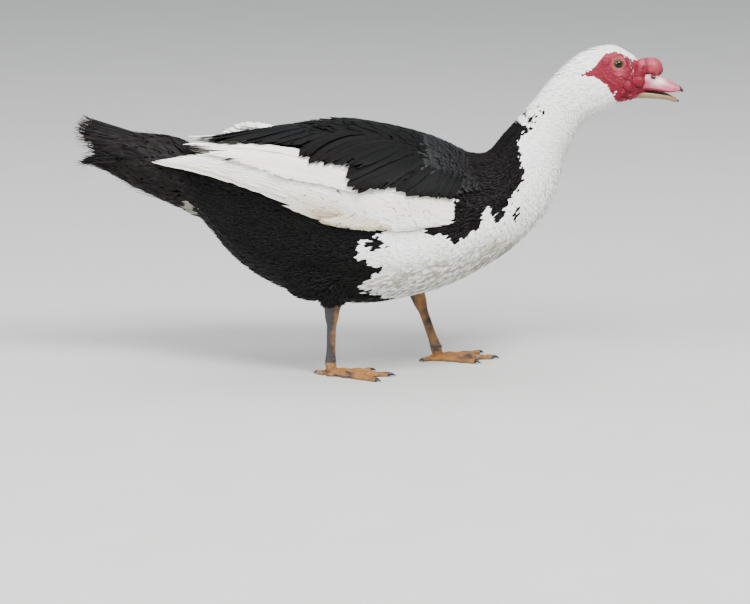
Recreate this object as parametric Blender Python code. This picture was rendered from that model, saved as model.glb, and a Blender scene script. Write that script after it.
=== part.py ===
# A Muscovy duck drake, life size, standing still in mid-stride with its neck stretched forward.
# The bird faces +X with its left side at +Y, and both feet stand on the plane Z = 0.
# Lengths are in millimetres and are turned to metres where meshes are made.
import math
import random

import bmesh
import bpy
from mathutils import Matrix, Vector

MM = 0.001
GAP = 0.3  # between neighbouring pieces
CLEAR = 0.45  # how much a piece grows, all round, when it is used to cut its neighbour
SLIVER = 0.03 * MM  # edges shorter than this, left by a join, are closed up
SIDES = {"right": -1, "left": 1}

# Body, neck and head are one skin through stations from the tail root to the face.
# Each station is a flat section, square to the side view: its back point (x, z), its belly
# point (x, z) and its half width.
STATIONS = [
    (-232, 290, -232, 198, 36),  # tail root
    (-184, 298, -184, 144, 57),  # rump
    (-118, 311, -118, 107, 76),  # hips
    (-32, 315, -28, 91, 91),  # loin
    (58, 298, 62, 107, 92),  # shoulders
    (126, 284, 171, 166, 75),  # crop
    (158, 313, 219, 223, 50),  # neck root
    (190, 349, 240, 294, 34),  # mid neck
    (222, 387, 263, 331, 29),  # throat
    (256, 415, 291, 343, 27.5),  # nape
    (291, 425, 308, 351, 27),  # crown
    (317, 415, 323, 356, 22),  # brow
    (337, 395, 338, 362, 12),  # bill root
]
TORSO_END, NECK_JOINT, HEAD_START = 5.35, 6.6, 8.0  # as station numbers
FULLNESS = 2.25  # 2 is an ellipse, and more is squarer
EGG = 0.07  # how much wider the belly is than the back
TORSO_SIDES, NECK_SIDES, HEAD_SIDES = 26, 20, 22

# The head's parts are placed from the point midway between the eyes: forward, out and up.
HEAD = Vector((302, 0, 407))
EYE_OUT, EYE_RADIUS = 20.3, 7.4
LID_RADIUS, LID_THICKNESS = 6.9, 1.7
KNOB_CENTRE, KNOB_RADII = (46.8, 0, -9.3), (11.0, 12.0, 11.4)

# Caruncles of one side: (forward, up), (radius along, radius out, radius up), depth in the skin
CARUNCLES = {
    "behind_knob": ((29.5, -5.5), (9.0, 7.5, 8.5), 8.0),
    "forehead": ((20.5, 1.5), (5.5, 5.0, 5.5), 2.5),
    "bridge": ((26.5, -14.0), (6.5, 5.0, 5.0), 3.0),
    "cheek_front": ((25.5, -26.0), (8.5, 6.0, 8.0), 3.0),
    "cheek_back": ((12.0, -30.0), (7.5, 5.0, 7.0), 3.0),
    "gape": ((15.0, -44.5), (8.5, 6.0, 5.0), 3.0),
    "chin": ((3.0, -46.5), (7.0, 6.0, 5.0), 3.5),
    "behind_eye": ((-17.0, -3.0), (5.5, 4.0, 7.0), 2.2),
}
# Folds of bare skin on one side: points (forward, up) and half thickness
FOLDS = {
    "before_eye": ([(8, 13), (11.5, 5), (12, -4), (16, -13)], 2.3),
    "under_eye": ([(-12, -7), (-8, -15), (0, -19.5), (9, -20)], 2.6),
    "cheek": ([(-21, -10), (-18, -20), (-10, -24), (2, -29)], 2.3),
}

# The bare red mask: an ellipse round the eye, open towards the bill and the chin
MASK_CENTRE, MASK_RADII = (3, -15), (27, 33)
MASK_TOP_TURN = 35  # degrees above forward, where the mask's edge leaves the forehead
MASK_FRONT, MASK_BOTTOM = 95, -90

# Bill stations: forward, up of the top, up of the edge, half width
UPPER_BILL = [
    (20, -18, -39.5, 12.0),
    (34, -16, -39.3, 13.4),
    (46, -18, -39.0, 13.2),
    (57, -22.6, -39.4, 12.4),
    (67, -28.0, -40.2, 11.8),
    (75, -31.8, -39.8, 10.4),
    (80, -35.2, -40.0, 7.6),
    (82.6, -38.6, -41.6, 3.4),
]
LOWER_BILL = [
    (18, -40.6, -50.0, 11.6),
    (34, -42.0, -50.2, 11.6),
    (50, -43.4, -50.8, 10.8),
    (62, -45.2, -52.4, 10.2),
    (70, -48.2, -54.2, 8.8),
    (75, -50.8, -55.2, 6.4),
    (77.4, -52.4, -55.0, 3.2),
]
EDGE_SHARE = 0.28  # how far up its height the upper bill is widest
NAIL_CENTRE, NAIL_RADII = (80.5, 0, -38.5), (6.5, 4.6, 8.5)
NOSTRIL_CENTRE, NOSTRIL_RADII = (45.0, 11.6, -21.8), (3.2, 3.4, 2.1)

# The folded wings and the shoulder feathers lie on a shell round the body. At each x it has a
# half width, the height where it is widest and the height of its top on the midline.
SHELL = {
    120: (78, 215, 272),
    60: (91, 220, 300),
    0: (98, 226, 314),
    -60: (97, 233, 320),
    -120: (89, 244, 317),
    -180: (75, 258, 309),
    -240: (58, 268, 301),
    -300: (46, 274, 303),
}
# Height of the folded wing's lower edge and of its upper edge, at each x
WING_LOWER = {-295: 281, -234: 266, -170: 246, -122: 229, -90: 217, -48: 206, 25: 206, 97: 213}
WING_UPPER = {-295: 288, -240: 296, -120: 296, 0: 286, 60: 272, 97: 255}
WING_FRONT, WING_CORE_END = 97, -74
WRIST_LIFT = 3.8  # how proud of the shell the front of the wing is
FLIGHT_COUNT = 10  # primaries, secondaries and the long inner feather, from the lower edge up
FLIGHT_LIFTS = (-6.0, 5.4)  # above the shell, of the lowest and the highest flight feather
FLIGHT_HALF = 8.2
COVERT_LANES = 3
COVERT_HALF = 12

# Shoulder feathers of one side: tip's x and angle round the shell, the root's distance ahead
# and its angle, half width, and the tip's height above the shell
SHOULDER_FEATHERS = [
    (-228, 68, 75, 70, 11, 8.2),
    (-198, 51, 66, 67, 11, 8.2),
    (-152, 49, 70, 64, 11, 8.2),
    (-108, 49, 70, 61, 11, 8.2),
    (-205, 81, 70, 82, 13, 7.0),
    (-152, 70, 70, 75, 15, 7.4),
    (-100, 80, 70, 81, 14, 7.8),
    (-60, 68, 66, 74, 15, 8.2),
    (-112, 37, 62, 57, 10, 8.4),
    (-84, 30, 58, 56, 10.5, 8.6),
    (-44, 32, 55, 56, 10.5, 8.8),
    (-52, 22, 50, 54, 10.5, 8.9),
    (-26, 14, 46, 54, 11, 9.0),
    (6, 17, 42, 54, 11, 9.2),
    (30, 15, 36, 54, 10.5, 9.3),
    (55, 16, 30, 56, 10.5, 9.4),
    (84, 17, 22, 58, 10, 9.4),
]

# Tail: a core of covert feathers behind the torso, and a fan that arches down at its sides
TAIL_STATIONS = [
    (-232, 290, -232, 198, 36),
    (-262, 303, -256, 211, 38),
    (-300, 308, -292, 228, 36),
    (-332, 306, -328, 248, 30),
    (-354, 303, -352, 270, 18),
]
TAIL_FRONT = 0.011  # in stations, behind the torso's end
TAIL_SIDES = 16
FAN_ROOT_X, FAN_TIP_X = -300, -386
FAN_HALF_ROOT, FAN_HALF_TIP = 24, 60
FAN_HEIGHT, FAN_RISE, FAN_DROP = 296, 29, 42
FAN_STACK = 1.1  # each tail feather lies this much under the next one towards the middle
TAIL_FEATHERS_A_SIDE = 6
# Coverts over the tail's root and under it: tip's x, and place from the middle to a side
RUMP_FEATHERS = [(-294, -0.5), (-294, 0.5), (-306, 0.0), (-326, -0.5), (-326, 0.5)]
VENT_FEATHERS = [(-304, -0.6), (-304, 0.6), (-326, 0.0), (-348, -0.5), (-348, 0.5)]

# Legs. The right one stays behind and the left one has stepped ahead.
LEGS = {
    "right": {"side": -1, "hock": (-65, 44, 86), "ankle": (-67, 38, 19), "toe_out": 4},
    "left": {"side": 1, "hock": (47, 50, 86), "ankle": (70, 52, 19), "toe_out": 5},
}
# Each toe: degrees outwards from straight ahead, length, radii at its root and tip, claw length
TOES = {
    "middle": (0, 74, 5.0, 3.1, 12),
    "outer": (27, 68, 4.6, 2.9, 9),
    "inner": (-27, 55, 4.6, 2.9, 10),
    "hind": (-158, 19, 3.8, 2.6, 7),
}
WEB_BOTTOM, WEB_TOP = 1.6, 3.2

# Crest feathers on the nape, lying flat: station of the tip and angle round the head in degrees
CREST_FEATHERS = [
    (8.12, 90), (8.25, 58), (8.25, 122), (8.6, 75), (8.6, 105), (8.95, 56), (8.95, 124),
]

# Vane thickness along the shaft and at the edges. Along each kind of vane: how far along, the
# share of its width there and the share of its rise out of the piece that holds its root.
SHAFT, EDGE = 0.85, 0.55
FLIGHT_VANE = [(0, 0.5, 0), (0.06, 0.65, 1), (0.5, 1, 1), (0.9, 0.68, 1), (1, 0.1, 1)]
TAIL_VANE = [(0, 0.5, 1), (0.45, 0.9, 1), (0.84, 1, 1), (1, 0.35, 1)]
COVERT_VANE = [(0, 0.6, 0), (0.22, 0.9, 0.95), (0.8, 0.85, 1), (1, 0.15, 1)]
BODY_VANE = [(0, 0.7, 0), (0.5, 1, 0.75), (0.84, 0.8, 0.97), (1, 0.15, 1)]

# Colours of the finish, as linear values
BLACK_FEATHER = (0.012, 0.011, 0.013)
WHITE_FEATHER = (0.82, 0.81, 0.77)
RED_SKIN = (0.52, 0.06, 0.07)
PINK_HORN = (0.78, 0.42, 0.42)
DARK_HORN = (0.02, 0.02, 0.02)
EYE = (0.05, 0.03, 0.01)
LEG_SKIN = (0.10, 0.08, 0.06)
WEB_SKIN = (0.55, 0.33, 0.09)

dice = random.Random(11)


# Smooth curves through named sizes


def smooth(keys, values):
    """A curve through (key, value) pairs that is smooth and never overshoots them."""
    spans = [b - a for a, b in zip(keys, keys[1:])]
    rises = [(b - a) / s for a, b, s in zip(values, values[1:], spans)]
    slopes = [rises[0]]
    for before, after in zip(rises, rises[1:]):
        slopes.append(0.0 if before * after <= 0 else 2 * before * after / (before + after))
    slopes.append(rises[-1])

    def at(key):
        key = min(max(key, keys[0]), keys[-1])
        i = max(j for j in range(len(spans)) if keys[j] <= key)
        t = (key - keys[i]) / spans[i]
        start, end = values[i], values[i + 1]
        a, b = slopes[i] * spans[i], slopes[i + 1] * spans[i]
        bend = (2 * t**3 - 3 * t**2 + 1) * start + (3 * t**2 - 2 * t**3) * end
        return bend + (t**3 - 2 * t**2 + t) * a + (t**3 - t**2) * b

    return at


def columns(rows):
    """One smooth curve for each column of a table of stations, by station number."""
    keys = list(range(len(rows)))
    return [smooth(keys, list(column)) for column in zip(*rows)]


def by_x(table):
    """A smooth curve for each value of a table that is keyed by x."""
    keys = sorted(table)
    rows = [table[x] if isinstance(table[x], tuple) else (table[x],) for x in keys]
    return [smooth(keys, list(column)) for column in zip(*rows)]


def blend(low, high, at):
    """A smooth step from 0 at low to 1 at high."""
    t = min(max((at - low) / (high - low), 0), 1)
    return t * t * (3 - 2 * t)


# Closed meshes


def mesh_from(points, faces):
    """A closed bmesh from points in millimetres, its faces turned outwards."""
    made = bmesh.new()
    corners = [made.verts.new(Vector(p) * MM) for p in points]
    for face in faces:
        made.faces.new([corners[i] for i in face])
    bmesh.ops.recalc_face_normals(made, faces=made.faces)
    if made.calc_volume(signed=True) < 0:
        bmesh.ops.reverse_faces(made, faces=made.faces)
    return made


def loft(rings):
    """A closed solid through rings of points, with flat ends."""
    count = len(rings[0])
    points = [p for ring in rings for p in ring]
    faces = [list(range(count)), list(range(len(points) - count, len(points)))]
    for r in range(len(rings) - 1):
        for i in range(count):
            a, b = r * count + i, r * count + (i + 1) % count
            faces.append([a, b, b + count])
            faces.append([a, b + count, a + count])
    return mesh_from(points, faces)


def plate(rows):
    """A closed plate from rows of (top, under) points, split into triangles alike on both faces."""
    row = len(rows[0])
    points = [top for line in rows for top, _ in line] + [under for line in rows for _, under in line]
    below = len(rows) * row
    faces = []
    for i in range(len(rows) - 1):
        for j in range(row - 1):
            a = i * row + j
            for face in ([a, a + 1, a + row + 1], [a, a + row + 1, a + row]):
                faces += [face, [k + below for k in face]]
    last = (len(rows) - 1) * row
    rim = [i * row for i in range(len(rows))] + [last + j for j in range(1, row)]
    rim += [i * row + row - 1 for i in reversed(range(len(rows) - 1))] + list(reversed(range(1, row - 1)))
    for a, b in zip(rim, rim[1:] + rim[:1]):
        faces += [[a, b, b + below], [a, b + below, a + below]]
    return mesh_from(points, faces)


def ellipsoid(centre, radii, segments=12, rows=8, turn=0.0):
    """A closed ellipsoid, pitched about Y by turn degrees."""
    made = bmesh.new()
    bmesh.ops.create_uvsphere(made, u_segments=segments, v_segments=rows, radius=MM)
    place = Matrix.Translation(Vector(centre) * MM) @ Matrix.Rotation(math.radians(turn), 4, "Y")
    made.transform(place @ Matrix.Diagonal((*radii, 1)))
    return made


def prism(outline, low, high):
    """A closed solid between y = low and y = high, from an outline of (x, z) points."""
    count = len(outline)
    points = [(x, y, z) for y in (low, high) for x, z in outline]
    faces = [list(range(count)), list(range(count, 2 * count))]
    faces += [[i, (i + 1) % count, (i + 1) % count + count, i + count] for i in range(count)]
    return mesh_from(points, faces)


def tube(points, radii, sides, floors=None, start_along=None, end_along=None):
    """A closed tube along points. Its rings stay above the heights in floors, the last repeated."""
    rings = []
    for i, centre in enumerate(points):
        ahead = points[min(i + 1, len(points) - 1)] - points[max(i - 1, 0)]
        if i == 0 and start_along is not None:
            ahead = start_along.copy()
        if i == len(points) - 1 and end_along is not None:
            ahead = end_along.copy()
        ahead.normalize()
        across = ahead.cross(Vector((0, 0, 1)))
        if across.length < 0.2:
            across = Vector((0, 1, 0))
        across.normalize()
        up = across.cross(ahead)
        ring = []
        for j in range(sides):
            angle = math.tau * (j + 0.5) / sides
            p = centre + (across * math.cos(angle) + up * math.sin(angle)) * radii[i]
            if floors is not None:
                p.z = max(p.z, floors[min(i, len(floors) - 1)])
            ring.append(p)
        rings.append(ring)
    return loft(rings)


# Objects


def finish(obj, name, colour, roughness):
    material = bpy.data.materials.new(name)
    material.use_nodes = True
    shader = material.node_tree.nodes["Principled BSDF"]
    shader.inputs["Base Color"].default_value = (*colour, 1)
    shader.inputs["Roughness"].default_value = roughness
    obj.data.materials.clear()
    obj.data.materials.append(material)
    obj.data.shade_smooth()
    obj.data.set_sharp_from_angle(angle=math.radians(50))


def new_object(name, made, collection=None):
    """An object of that name from a bmesh, which is freed."""
    mesh = bpy.data.meshes.new(name)
    made.to_mesh(mesh)
    made.free()
    obj = bpy.data.objects.new(name, mesh)
    (collection or bpy.context.scene.collection).objects.link(obj)
    return obj


def boolean(obj, pieces, operation, solver="EXACT"):
    """Joins or cuts obj by all the pieces at once, applies it and removes them."""
    group = bpy.data.collections.new("pieces")
    bpy.context.scene.collection.children.link(group)
    helpers = [new_object("piece", made, group) for made in pieces]
    step = obj.modifiers.new("join", "BOOLEAN")
    step.operation = operation
    step.operand_type = "COLLECTION"
    step.collection = group
    step.solver = solver
    bpy.context.view_layer.update()
    graph = bpy.context.evaluated_depsgraph_get()
    applied = bpy.data.meshes.new_from_object(obj.evaluated_get(graph))
    obj.modifiers.clear()
    obj.data = applied
    for helper in helpers:
        bpy.data.objects.remove(helper)
    bpy.data.collections.remove(group)


def close_slivers(made):
    """Closes up each tiny edge where that leaves the surface whole."""
    for _ in range(3):
        busy, merged = set(), {}
        for edge in made.edges:
            if edge.calc_length() > SLIVER:
                continue
            a, b = edge.verts
            near_a = {link.other_vert(a) for link in a.link_edges}
            near_b = {link.other_vert(b) for link in b.link_edges}
            if len(near_a & near_b) == 2 and not busy & (near_a | near_b):
                merged[a] = b
                busy |= near_a | near_b
        if merged:
            bmesh.ops.weld_verts(made, targetmap=merged)


def share_of_volume(corner):
    """A third of the signed volumes between the origin and the triangles at a corner."""
    total = 0
    for face in corner.link_faces:
        a, b, c = (v.co for v in face.verts)
        total += a.dot(b.cross(c)) / 18
    return total


def keep_largest(obj):
    """Leaves only the largest closed surface of a mesh, as triangles."""
    made = bmesh.new()
    made.from_mesh(obj.data)
    bmesh.ops.triangulate(made, faces=made.faces)
    close_slivers(made)
    left, groups = set(made.verts), []
    while left:
        start = left.pop()
        group, edge = [start], [start]
        while edge:
            for link in edge.pop().link_edges:
                for corner in link.verts:
                    if corner in left:
                        left.discard(corner)
                        group.append(corner)
                        edge.append(corner)
        groups.append(group)
    largest = max(groups, key=lambda group: abs(sum(share_of_volume(v) for v in group)))
    loose = [v for group in groups if group is not largest for v in group]
    bmesh.ops.delete(made, geom=loose, context="VERTS")
    made.to_mesh(obj.data)
    made.free()


def body_node(name, pieces, colour, roughness, cut_by=(), within=(), solver="EXACT"):
    """One node: the pieces joined, kept within a region and cut by its neighbours."""
    obj = new_object(name, pieces[0])
    if len(pieces) > 1:
        boolean(obj, pieces[1:], "UNION", solver)
    if within:
        boolean(obj, within, "INTERSECT")
    if cut_by:
        boolean(obj, cut_by, "DIFFERENCE")
    keep_largest(obj)
    finish(obj, name, colour, roughness)


# Feathers


def feather(place, path, half, lifts, tilt=0.0, shape=BODY_VANE, facing=-1):
    """A vane along path(t) over the surface place(p, q), from its root to its tip.

    Its height above the surface runs from the first lift to the last, and tilt raises the edge
    towards smaller q by that much for each millimetre from the shaft. Heights count outwards,
    which is against the cross product of p and q where facing is -1.
    """
    step = 0.01

    def raised(p, q, lift):
        along = place(p + step, q) - place(p - step, q)
        across = place(p, q + step) - place(p, q - step)
        return place(p, q) + along.cross(across).normalized() * facing * lift

    rows = []
    for t, share, risen in shape:
        p, q = path(t)
        p_to, q_to = path(min(t + 0.02, 1))
        p_from, q_from = path(max(t - 0.02, 0))
        scale_p = (place(p + step, q) - place(p - step, q)).length / (2 * step)
        scale_q = (place(p, q + step) - place(p, q - step)).length / (2 * step)
        run, rise = (p_to - p_from) * scale_p, (q_to - q_from) * scale_q
        length = math.hypot(run, rise)
        lift = lifts[0] + (lifts[1] - lifts[0]) * risen
        row = []
        for side, thick in ((-1, EDGE), (0, SHAFT), (1, EDGE)):
            out = half * share * side
            at_p = p + rise / length / scale_p * out
            at_q = q - run / length / scale_q * out
            level = lift - tilt * out
            row.append((raised(at_p, at_q, level + thick / 2), raised(at_p, at_q, level - thick / 2)))
        rows.append(row)
    return plate(rows)


def line(start, end):
    """A straight path between two (p, q) places."""
    return lambda t: (start[0] + (end[0] - start[0]) * t, start[1] + (end[1] - start[1]) * t)


# Body and neck

back_x, back_z, belly_x, belly_z, half_width = columns(STATIONS)


def on_skin(station, angle):
    """A point of the skin, at an angle in radians from the bird's left to its back."""
    back = Vector((back_x(station), 0, back_z(station)))
    belly = Vector((belly_x(station), 0, belly_z(station)))
    c, s = math.cos(angle), math.sin(angle)
    across = math.copysign(abs(c) ** (2 / FULLNESS), c) * (1 - EGG * s) * half_width(station)
    rise = math.copysign(abs(s) ** (2 / FULLNESS), s)
    return (back + belly) / 2 + (back - belly) / 2 * rise + Vector((0, across, 0))


def section(station, sides, grow):
    """One flat ring of the skin, grown in its own plane."""
    centre = Vector((back_x(station) + belly_x(station), 0, back_z(station) + belly_z(station))) / 2
    ring = []
    for i in range(sides):
        p = on_skin(station, math.tau * (i + 0.5) / sides)
        ring.append(p + (p - centre).normalized() * grow)
    return ring


def skin(start, end, steps, sides, grow=0.0):
    """The part of the skin between two stations."""
    at = [start + (end - start) * i / steps for i in range(steps + 1)]
    return loft([section(station, sides, grow) for station in at])


def past(station, gaps):
    """The station that lies some gaps further on, measured where two sections are closest."""
    ahead = station + 0.01
    steps = []
    for x, z in ((back_x, back_z), (belly_x, belly_z)):
        steps.append(math.hypot(x(ahead) - x(station), z(ahead) - z(station)))
    return station + gaps * 0.01 * GAP / min(steps)


def torso(grow=0.0):
    return skin(0, TORSO_END, 17, TORSO_SIDES, grow)


def build_torso_and_neck():
    body_node("torso", [torso()], BLACK_FEATHER, 0.8)
    lower = skin(past(TORSO_END, 1.2), NECK_JOINT, 6, NECK_SIDES)
    upper = skin(past(NECK_JOINT, 1.2), past(HEAD_START, -1.2), 6, NECK_SIDES)
    body_node("neck_lower", [lower], WHITE_FEATHER, 0.8)
    body_node("neck_upper", [upper], WHITE_FEATHER, 0.8)


# Head


def at_head(forward, out, up):
    return HEAD + Vector((forward, out, up))


def head_half_width(forward, up):
    """How far out the head's skin is at a place in the side view."""
    x, z = HEAD.x + forward, HEAD.z + up
    nearest, found = None, 0
    for i in range(60):
        station = HEAD_START + (len(STATIONS) - 1 - HEAD_START) * i / 59
        for j in range(31):
            p = on_skin(station, math.pi * (j / 30 - 0.5))
            distance = math.hypot(p.x - x, p.z - z)
            if nearest is None or distance < nearest:
                nearest, found = distance, p.y
    return found


def fold(side, points, thickness, grow):
    """A raised fold of skin along points of the side view."""
    centres = []
    for forward, up in points:
        out = head_half_width(forward, up) - 0.5 * thickness
        centres.append(at_head(forward, out * side, up))
    radii = [thickness * share + grow for share in (0.45, 1, 1, 0.45)]
    return tube(centres, radii, 5)


def head_pieces(grow=0.0):
    """The head's skin, the knob over the bill, the caruncles and the folds."""
    pieces = [skin(HEAD_START, len(STATIONS) - 1, 10, HEAD_SIDES, grow)]
    pieces.append(ellipsoid(at_head(*KNOB_CENTRE), [r + grow for r in KNOB_RADII], 11, 7, 14))
    uneven = random.Random(5)
    for (forward, up), radii, depth in CARUNCLES.values():
        out = head_half_width(forward, up) + radii[1] - depth
        for side in SIDES.values():
            size = uneven.uniform(0.93, 1.07)
            place = at_head(forward, max(out - radii[1], 3.5) * side, up + uneven.uniform(-0.6, 0.6))
            grown = [r * size + grow for r in radii]
            pieces.append(ellipsoid(place, grown, 7, 5, uneven.uniform(-15, 15)))
    for points, thickness in FOLDS.values():
        for side in SIDES.values():
            pieces.append(fold(side, points, thickness, grow))
    return pieces


def lid(side):
    """A ring of skin round the eye."""
    around, sides = 11, 5
    points, faces = [], []
    for i in range(around):
        turn = math.tau * i / around
        middle = Vector((math.cos(turn), 0, math.sin(turn)))
        for j in range(sides):
            roll = math.tau * j / sides
            out = EYE_OUT + 4.0 + LID_THICKNESS * math.sin(roll)
            reach = LID_RADIUS + LID_THICKNESS * math.cos(roll)
            points.append(HEAD + middle * reach + Vector((0, side * out, 0)))
            a, b = i * sides + j, i * sides + (j + 1) % sides
            c, d = (i + 1) % around * sides + (j + 1) % sides, (i + 1) % around * sides + j
            faces += [[a, b, c], [a, c, d]]
    return mesh_from(points, faces)


def mask_region(grow):
    outline = []
    for i in range(17):
        turn = math.radians(MASK_TOP_TURN + (270 - MASK_TOP_TURN) * i / 16)
        x = MASK_CENTRE[0] + (MASK_RADII[0] + grow) * math.cos(turn)
        outline.append((x, MASK_CENTRE[1] + (MASK_RADII[1] + grow) * math.sin(turn)))
    top = outline[0][1]
    outline += [(MASK_CENTRE[0] - grow, MASK_BOTTOM), (MASK_FRONT, MASK_BOTTOM), (MASK_FRONT, top)]
    return prism([(HEAD.x + x, HEAD.z + z) for x, z in outline], -60, 60)


def eyeball(side, grow=0.0):
    radius = EYE_RADIUS + grow
    return ellipsoid(at_head(0, EYE_OUT * side, 0), (radius,) * 3, 12, 8)


def crest():
    """Feathers of the crest, lying flat along the nape."""
    made = []
    for tip, degrees in CREST_FEATHERS:
        angle = math.radians(degrees)
        outwards = math.radians(degrees + (degrees - 90) * 0.12)
        path = line((tip + 1.0, angle), (tip, outwards))
        made.append(feather(on_skin, path, 7.5, (-2.2, 1.7)))
    return made


def build_head():
    sockets = [eyeball(side, GAP) for side in SIDES.values()]
    lids = [lid(side) for side in SIDES.values()]
    body_node("head", head_pieces() + crest(), WHITE_FEATHER, 0.8, cut_by=[mask_region(GAP / 2)])
    body_node("face", head_pieces() + lids, RED_SKIN, 0.5, sockets, [mask_region(-GAP / 2)])
    for name, side in SIDES.items():
        body_node("eye_" + name, [eyeball(side)], EYE, 0.1)


# Bill


def bill(stations, steps, sides, widest, grow=0.0):
    """Half of the bill, widest at that share of its height."""
    forward, top, edge, wide = columns(stations)
    rings = []
    for i in range(steps + 1):
        k = (len(stations) - 1) * i / steps
        height = top(k) - edge(k)
        ring = []
        for j in range(sides):
            angle = math.tau * (j + 0.5) / sides
            c, s = math.cos(angle), math.sin(angle)
            reach = height * (1 - widest if s > 0 else widest) + grow
            across = math.copysign(abs(c) ** 0.8, c) * (wide(k) + grow)
            up = edge(k) + height * widest + math.copysign(abs(s) ** 0.9, s) * reach
            ring.append(at_head(forward(k), across, up))
        rings.append(ring)
    return loft(rings)


def build_bill():
    nostrils = []
    for side in SIDES.values():
        forward, out, up = NOSTRIL_CENTRE
        nostrils.append(ellipsoid(at_head(forward, out * side, up), NOSTRIL_RADII, 8, 5, 20))
    nail_in = ellipsoid(at_head(*NAIL_CENTRE), [r - GAP / 2 for r in NAIL_RADII], 12, 8)
    nail_out = ellipsoid(at_head(*NAIL_CENTRE), [r + GAP / 2 for r in NAIL_RADII], 12, 8)
    upper = bill(UPPER_BILL, 10, 12, EDGE_SHARE)
    body_node("upper_bill", [upper.copy()], PINK_HORN, 0.35, head_pieces(CLEAR) + nostrils + [nail_out])
    body_node("bill_nail", [upper], DARK_HORN, 0.3, within=[nail_in])
    lower = bill(LOWER_BILL, 8, 10, 1 - EDGE_SHARE)
    body_node("lower_bill", [lower], PINK_HORN, 0.35, head_pieces(CLEAR))


# Wings and shoulders

shell_wide, shell_middle, shell_top = by_x(SHELL)
(wing_lower,) = by_x(WING_LOWER)
(wing_upper,) = by_x(WING_UPPER)


def shell(side):
    """The surface round the body on one side, by x and by angle from level to the back."""

    def place(x, turn):
        turn = min(turn, math.radians(89.7))
        high = shell_top(x) - shell_middle(x)
        y = side * shell_wide(x) * math.cos(turn)
        return Vector((x, y, shell_middle(x) + high * math.sin(turn)))

    return place


def shell_raised(side, x, turn, lift):
    """A point of the shell, raised square to it in the section at that x."""
    wide, high = shell_wide(x), shell_top(x) - shell_middle(x)
    c, s = math.cos(turn), math.sin(turn)
    out = Vector((0, high * c, wide * s)).normalized()
    p = shell(side)(x, turn)
    return p + Vector((0, side * out.y, out.z)) * lift


def turn_at(x, z):
    """The angle round the shell where its surface has that height."""
    rise = (z - shell_middle(x)) / (shell_top(x) - shell_middle(x))
    return math.asin(min(max(rise, -0.95), 0.999))


def pad(side, front, back, lower, upper, outer, inner, open_top=False):
    """A closed pad on the shell between two x and two angles, thinned towards its rims."""
    length_steps, round_steps = 10, 5
    rows = []
    for i in range(length_steps + 1):
        a = i / length_steps
        x = front + (back - front) * a
        row = []
        for j in range(round_steps + 1):
            b = j / round_steps
            rim = 1 - (b if open_top else min(2 * b, 2 - 2 * b))
            thin = (1 - (2 * a - 1) ** 6) ** 0.5 * (1 - rim**6) ** 0.5
            turn = lower(x) + (upper(x) - lower(x)) * b
            high, low = outer(x, b), inner(x)
            half = (high - low) / 2 * max(thin, 0.15)
            middle = (high + low) / 2
            row.append(
                (
                    shell_raised(side, x, turn, middle + half),
                    shell_raised(side, x, turn, middle - half),
                )
            )
        rows.append(row)
    return plate(rows)


def flight_level(share):
    """The flight feathers' height above the shell, at a share of the way up the wing."""
    return FLIGHT_LIFTS[0] + (FLIGHT_LIFTS[1] - FLIGHT_LIFTS[0]) * share


def wing_level(x, share):
    """The height above the shell of the flight feathers, and of the plump front of the wing."""
    return flight_level(share) + (WRIST_LIFT - flight_level(share)) * blend(-40, 55, x)


def wing_height(x, share):
    return wing_lower(x) + (wing_upper(x) - wing_lower(x)) * share


def wing_surface(side):
    """The wing's own surface on one side, by x and by angle round the shell."""

    def place(x, turn):
        z = shell(side)(x, turn).z
        share = (z - wing_lower(x)) / (wing_upper(x) - wing_lower(x))
        return shell_raised(side, x, turn, wing_level(x, share))

    return place


def wing_core(side):
    return pad(
        side, WING_FRONT, WING_CORE_END,
        lambda x: turn_at(x, wing_lower(x)),
        lambda x: turn_at(x, wing_upper(x)),
        lambda x, share: wing_level(x, share) - 1.4 + 3 * blend(-10, 60, x),
        lambda x: -24 + 10 * blend(-30, WING_CORE_END, x),
    )


def flight_feather(side, number):
    """One of the long feathers of the folded wing, counted from its lower edge."""
    last = FLIGHT_COUNT - 1
    share = number / last
    root_x = -44 + 10 * share
    tip_x = -297 + 6.5 * number + 1.1 * number**2
    root_up, tip_up = 0.09 + 0.77 * share, 0.33 + 0.6 * (number / (last - 1)) ** 0.35
    if number == last:
        tip_x, tip_up = -259, 1.08

    def path(t):
        x = root_x + (tip_x - root_x) * t
        return x, turn_at(x, wing_height(x, root_up + (tip_up - root_up) * t**1.3))

    level = flight_level(share)
    lifts = (level - 5, level)
    return feather(shell(side), path, FLIGHT_HALF, lifts, shape=FLIGHT_VANE, facing=-side)


def wing_coverts(side):
    """Two rows of covert feathers over the roots of the flight feathers."""
    made = []
    for lane in range(COVERT_LANES):
        share = (lane + 0.5) / COVERT_LANES
        up = 0.07 + 0.48 * share
        for root_x, tip_x, lift in ((30, -60 + 22 * share, 2.7), (78, 8 + 18 * share, 4.0)):
            tip_x += dice.uniform(-4, 4)
            path = line(
                (root_x, turn_at(root_x, wing_height(root_x, up))),
                (tip_x, turn_at(tip_x, wing_height(tip_x, up))),
            )
            made.append(
                feather(wing_surface(side), path, COVERT_HALF, (-3, lift), 0.1, COVERT_VANE, -side)
            )
    return made


def shoulder_level(x):
    """Height above the shell of the shoulder's core, lower towards the tail."""
    return -1.5 + 3.5 * blend(-175, -60, x) + 4.5 * blend(-60, 25, x)


def shoulder_core(side):
    return pad(
        side, 132, -175,
        lambda x: turn_at(x, wing_upper(x)) + 2.2 / shell_wide(x),
        lambda x: math.radians(89.6),
        lambda x, share: shoulder_level(x),
        lambda x: -24 + 14 * blend(-60, -150, x),
        open_top=True,
    )


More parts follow.
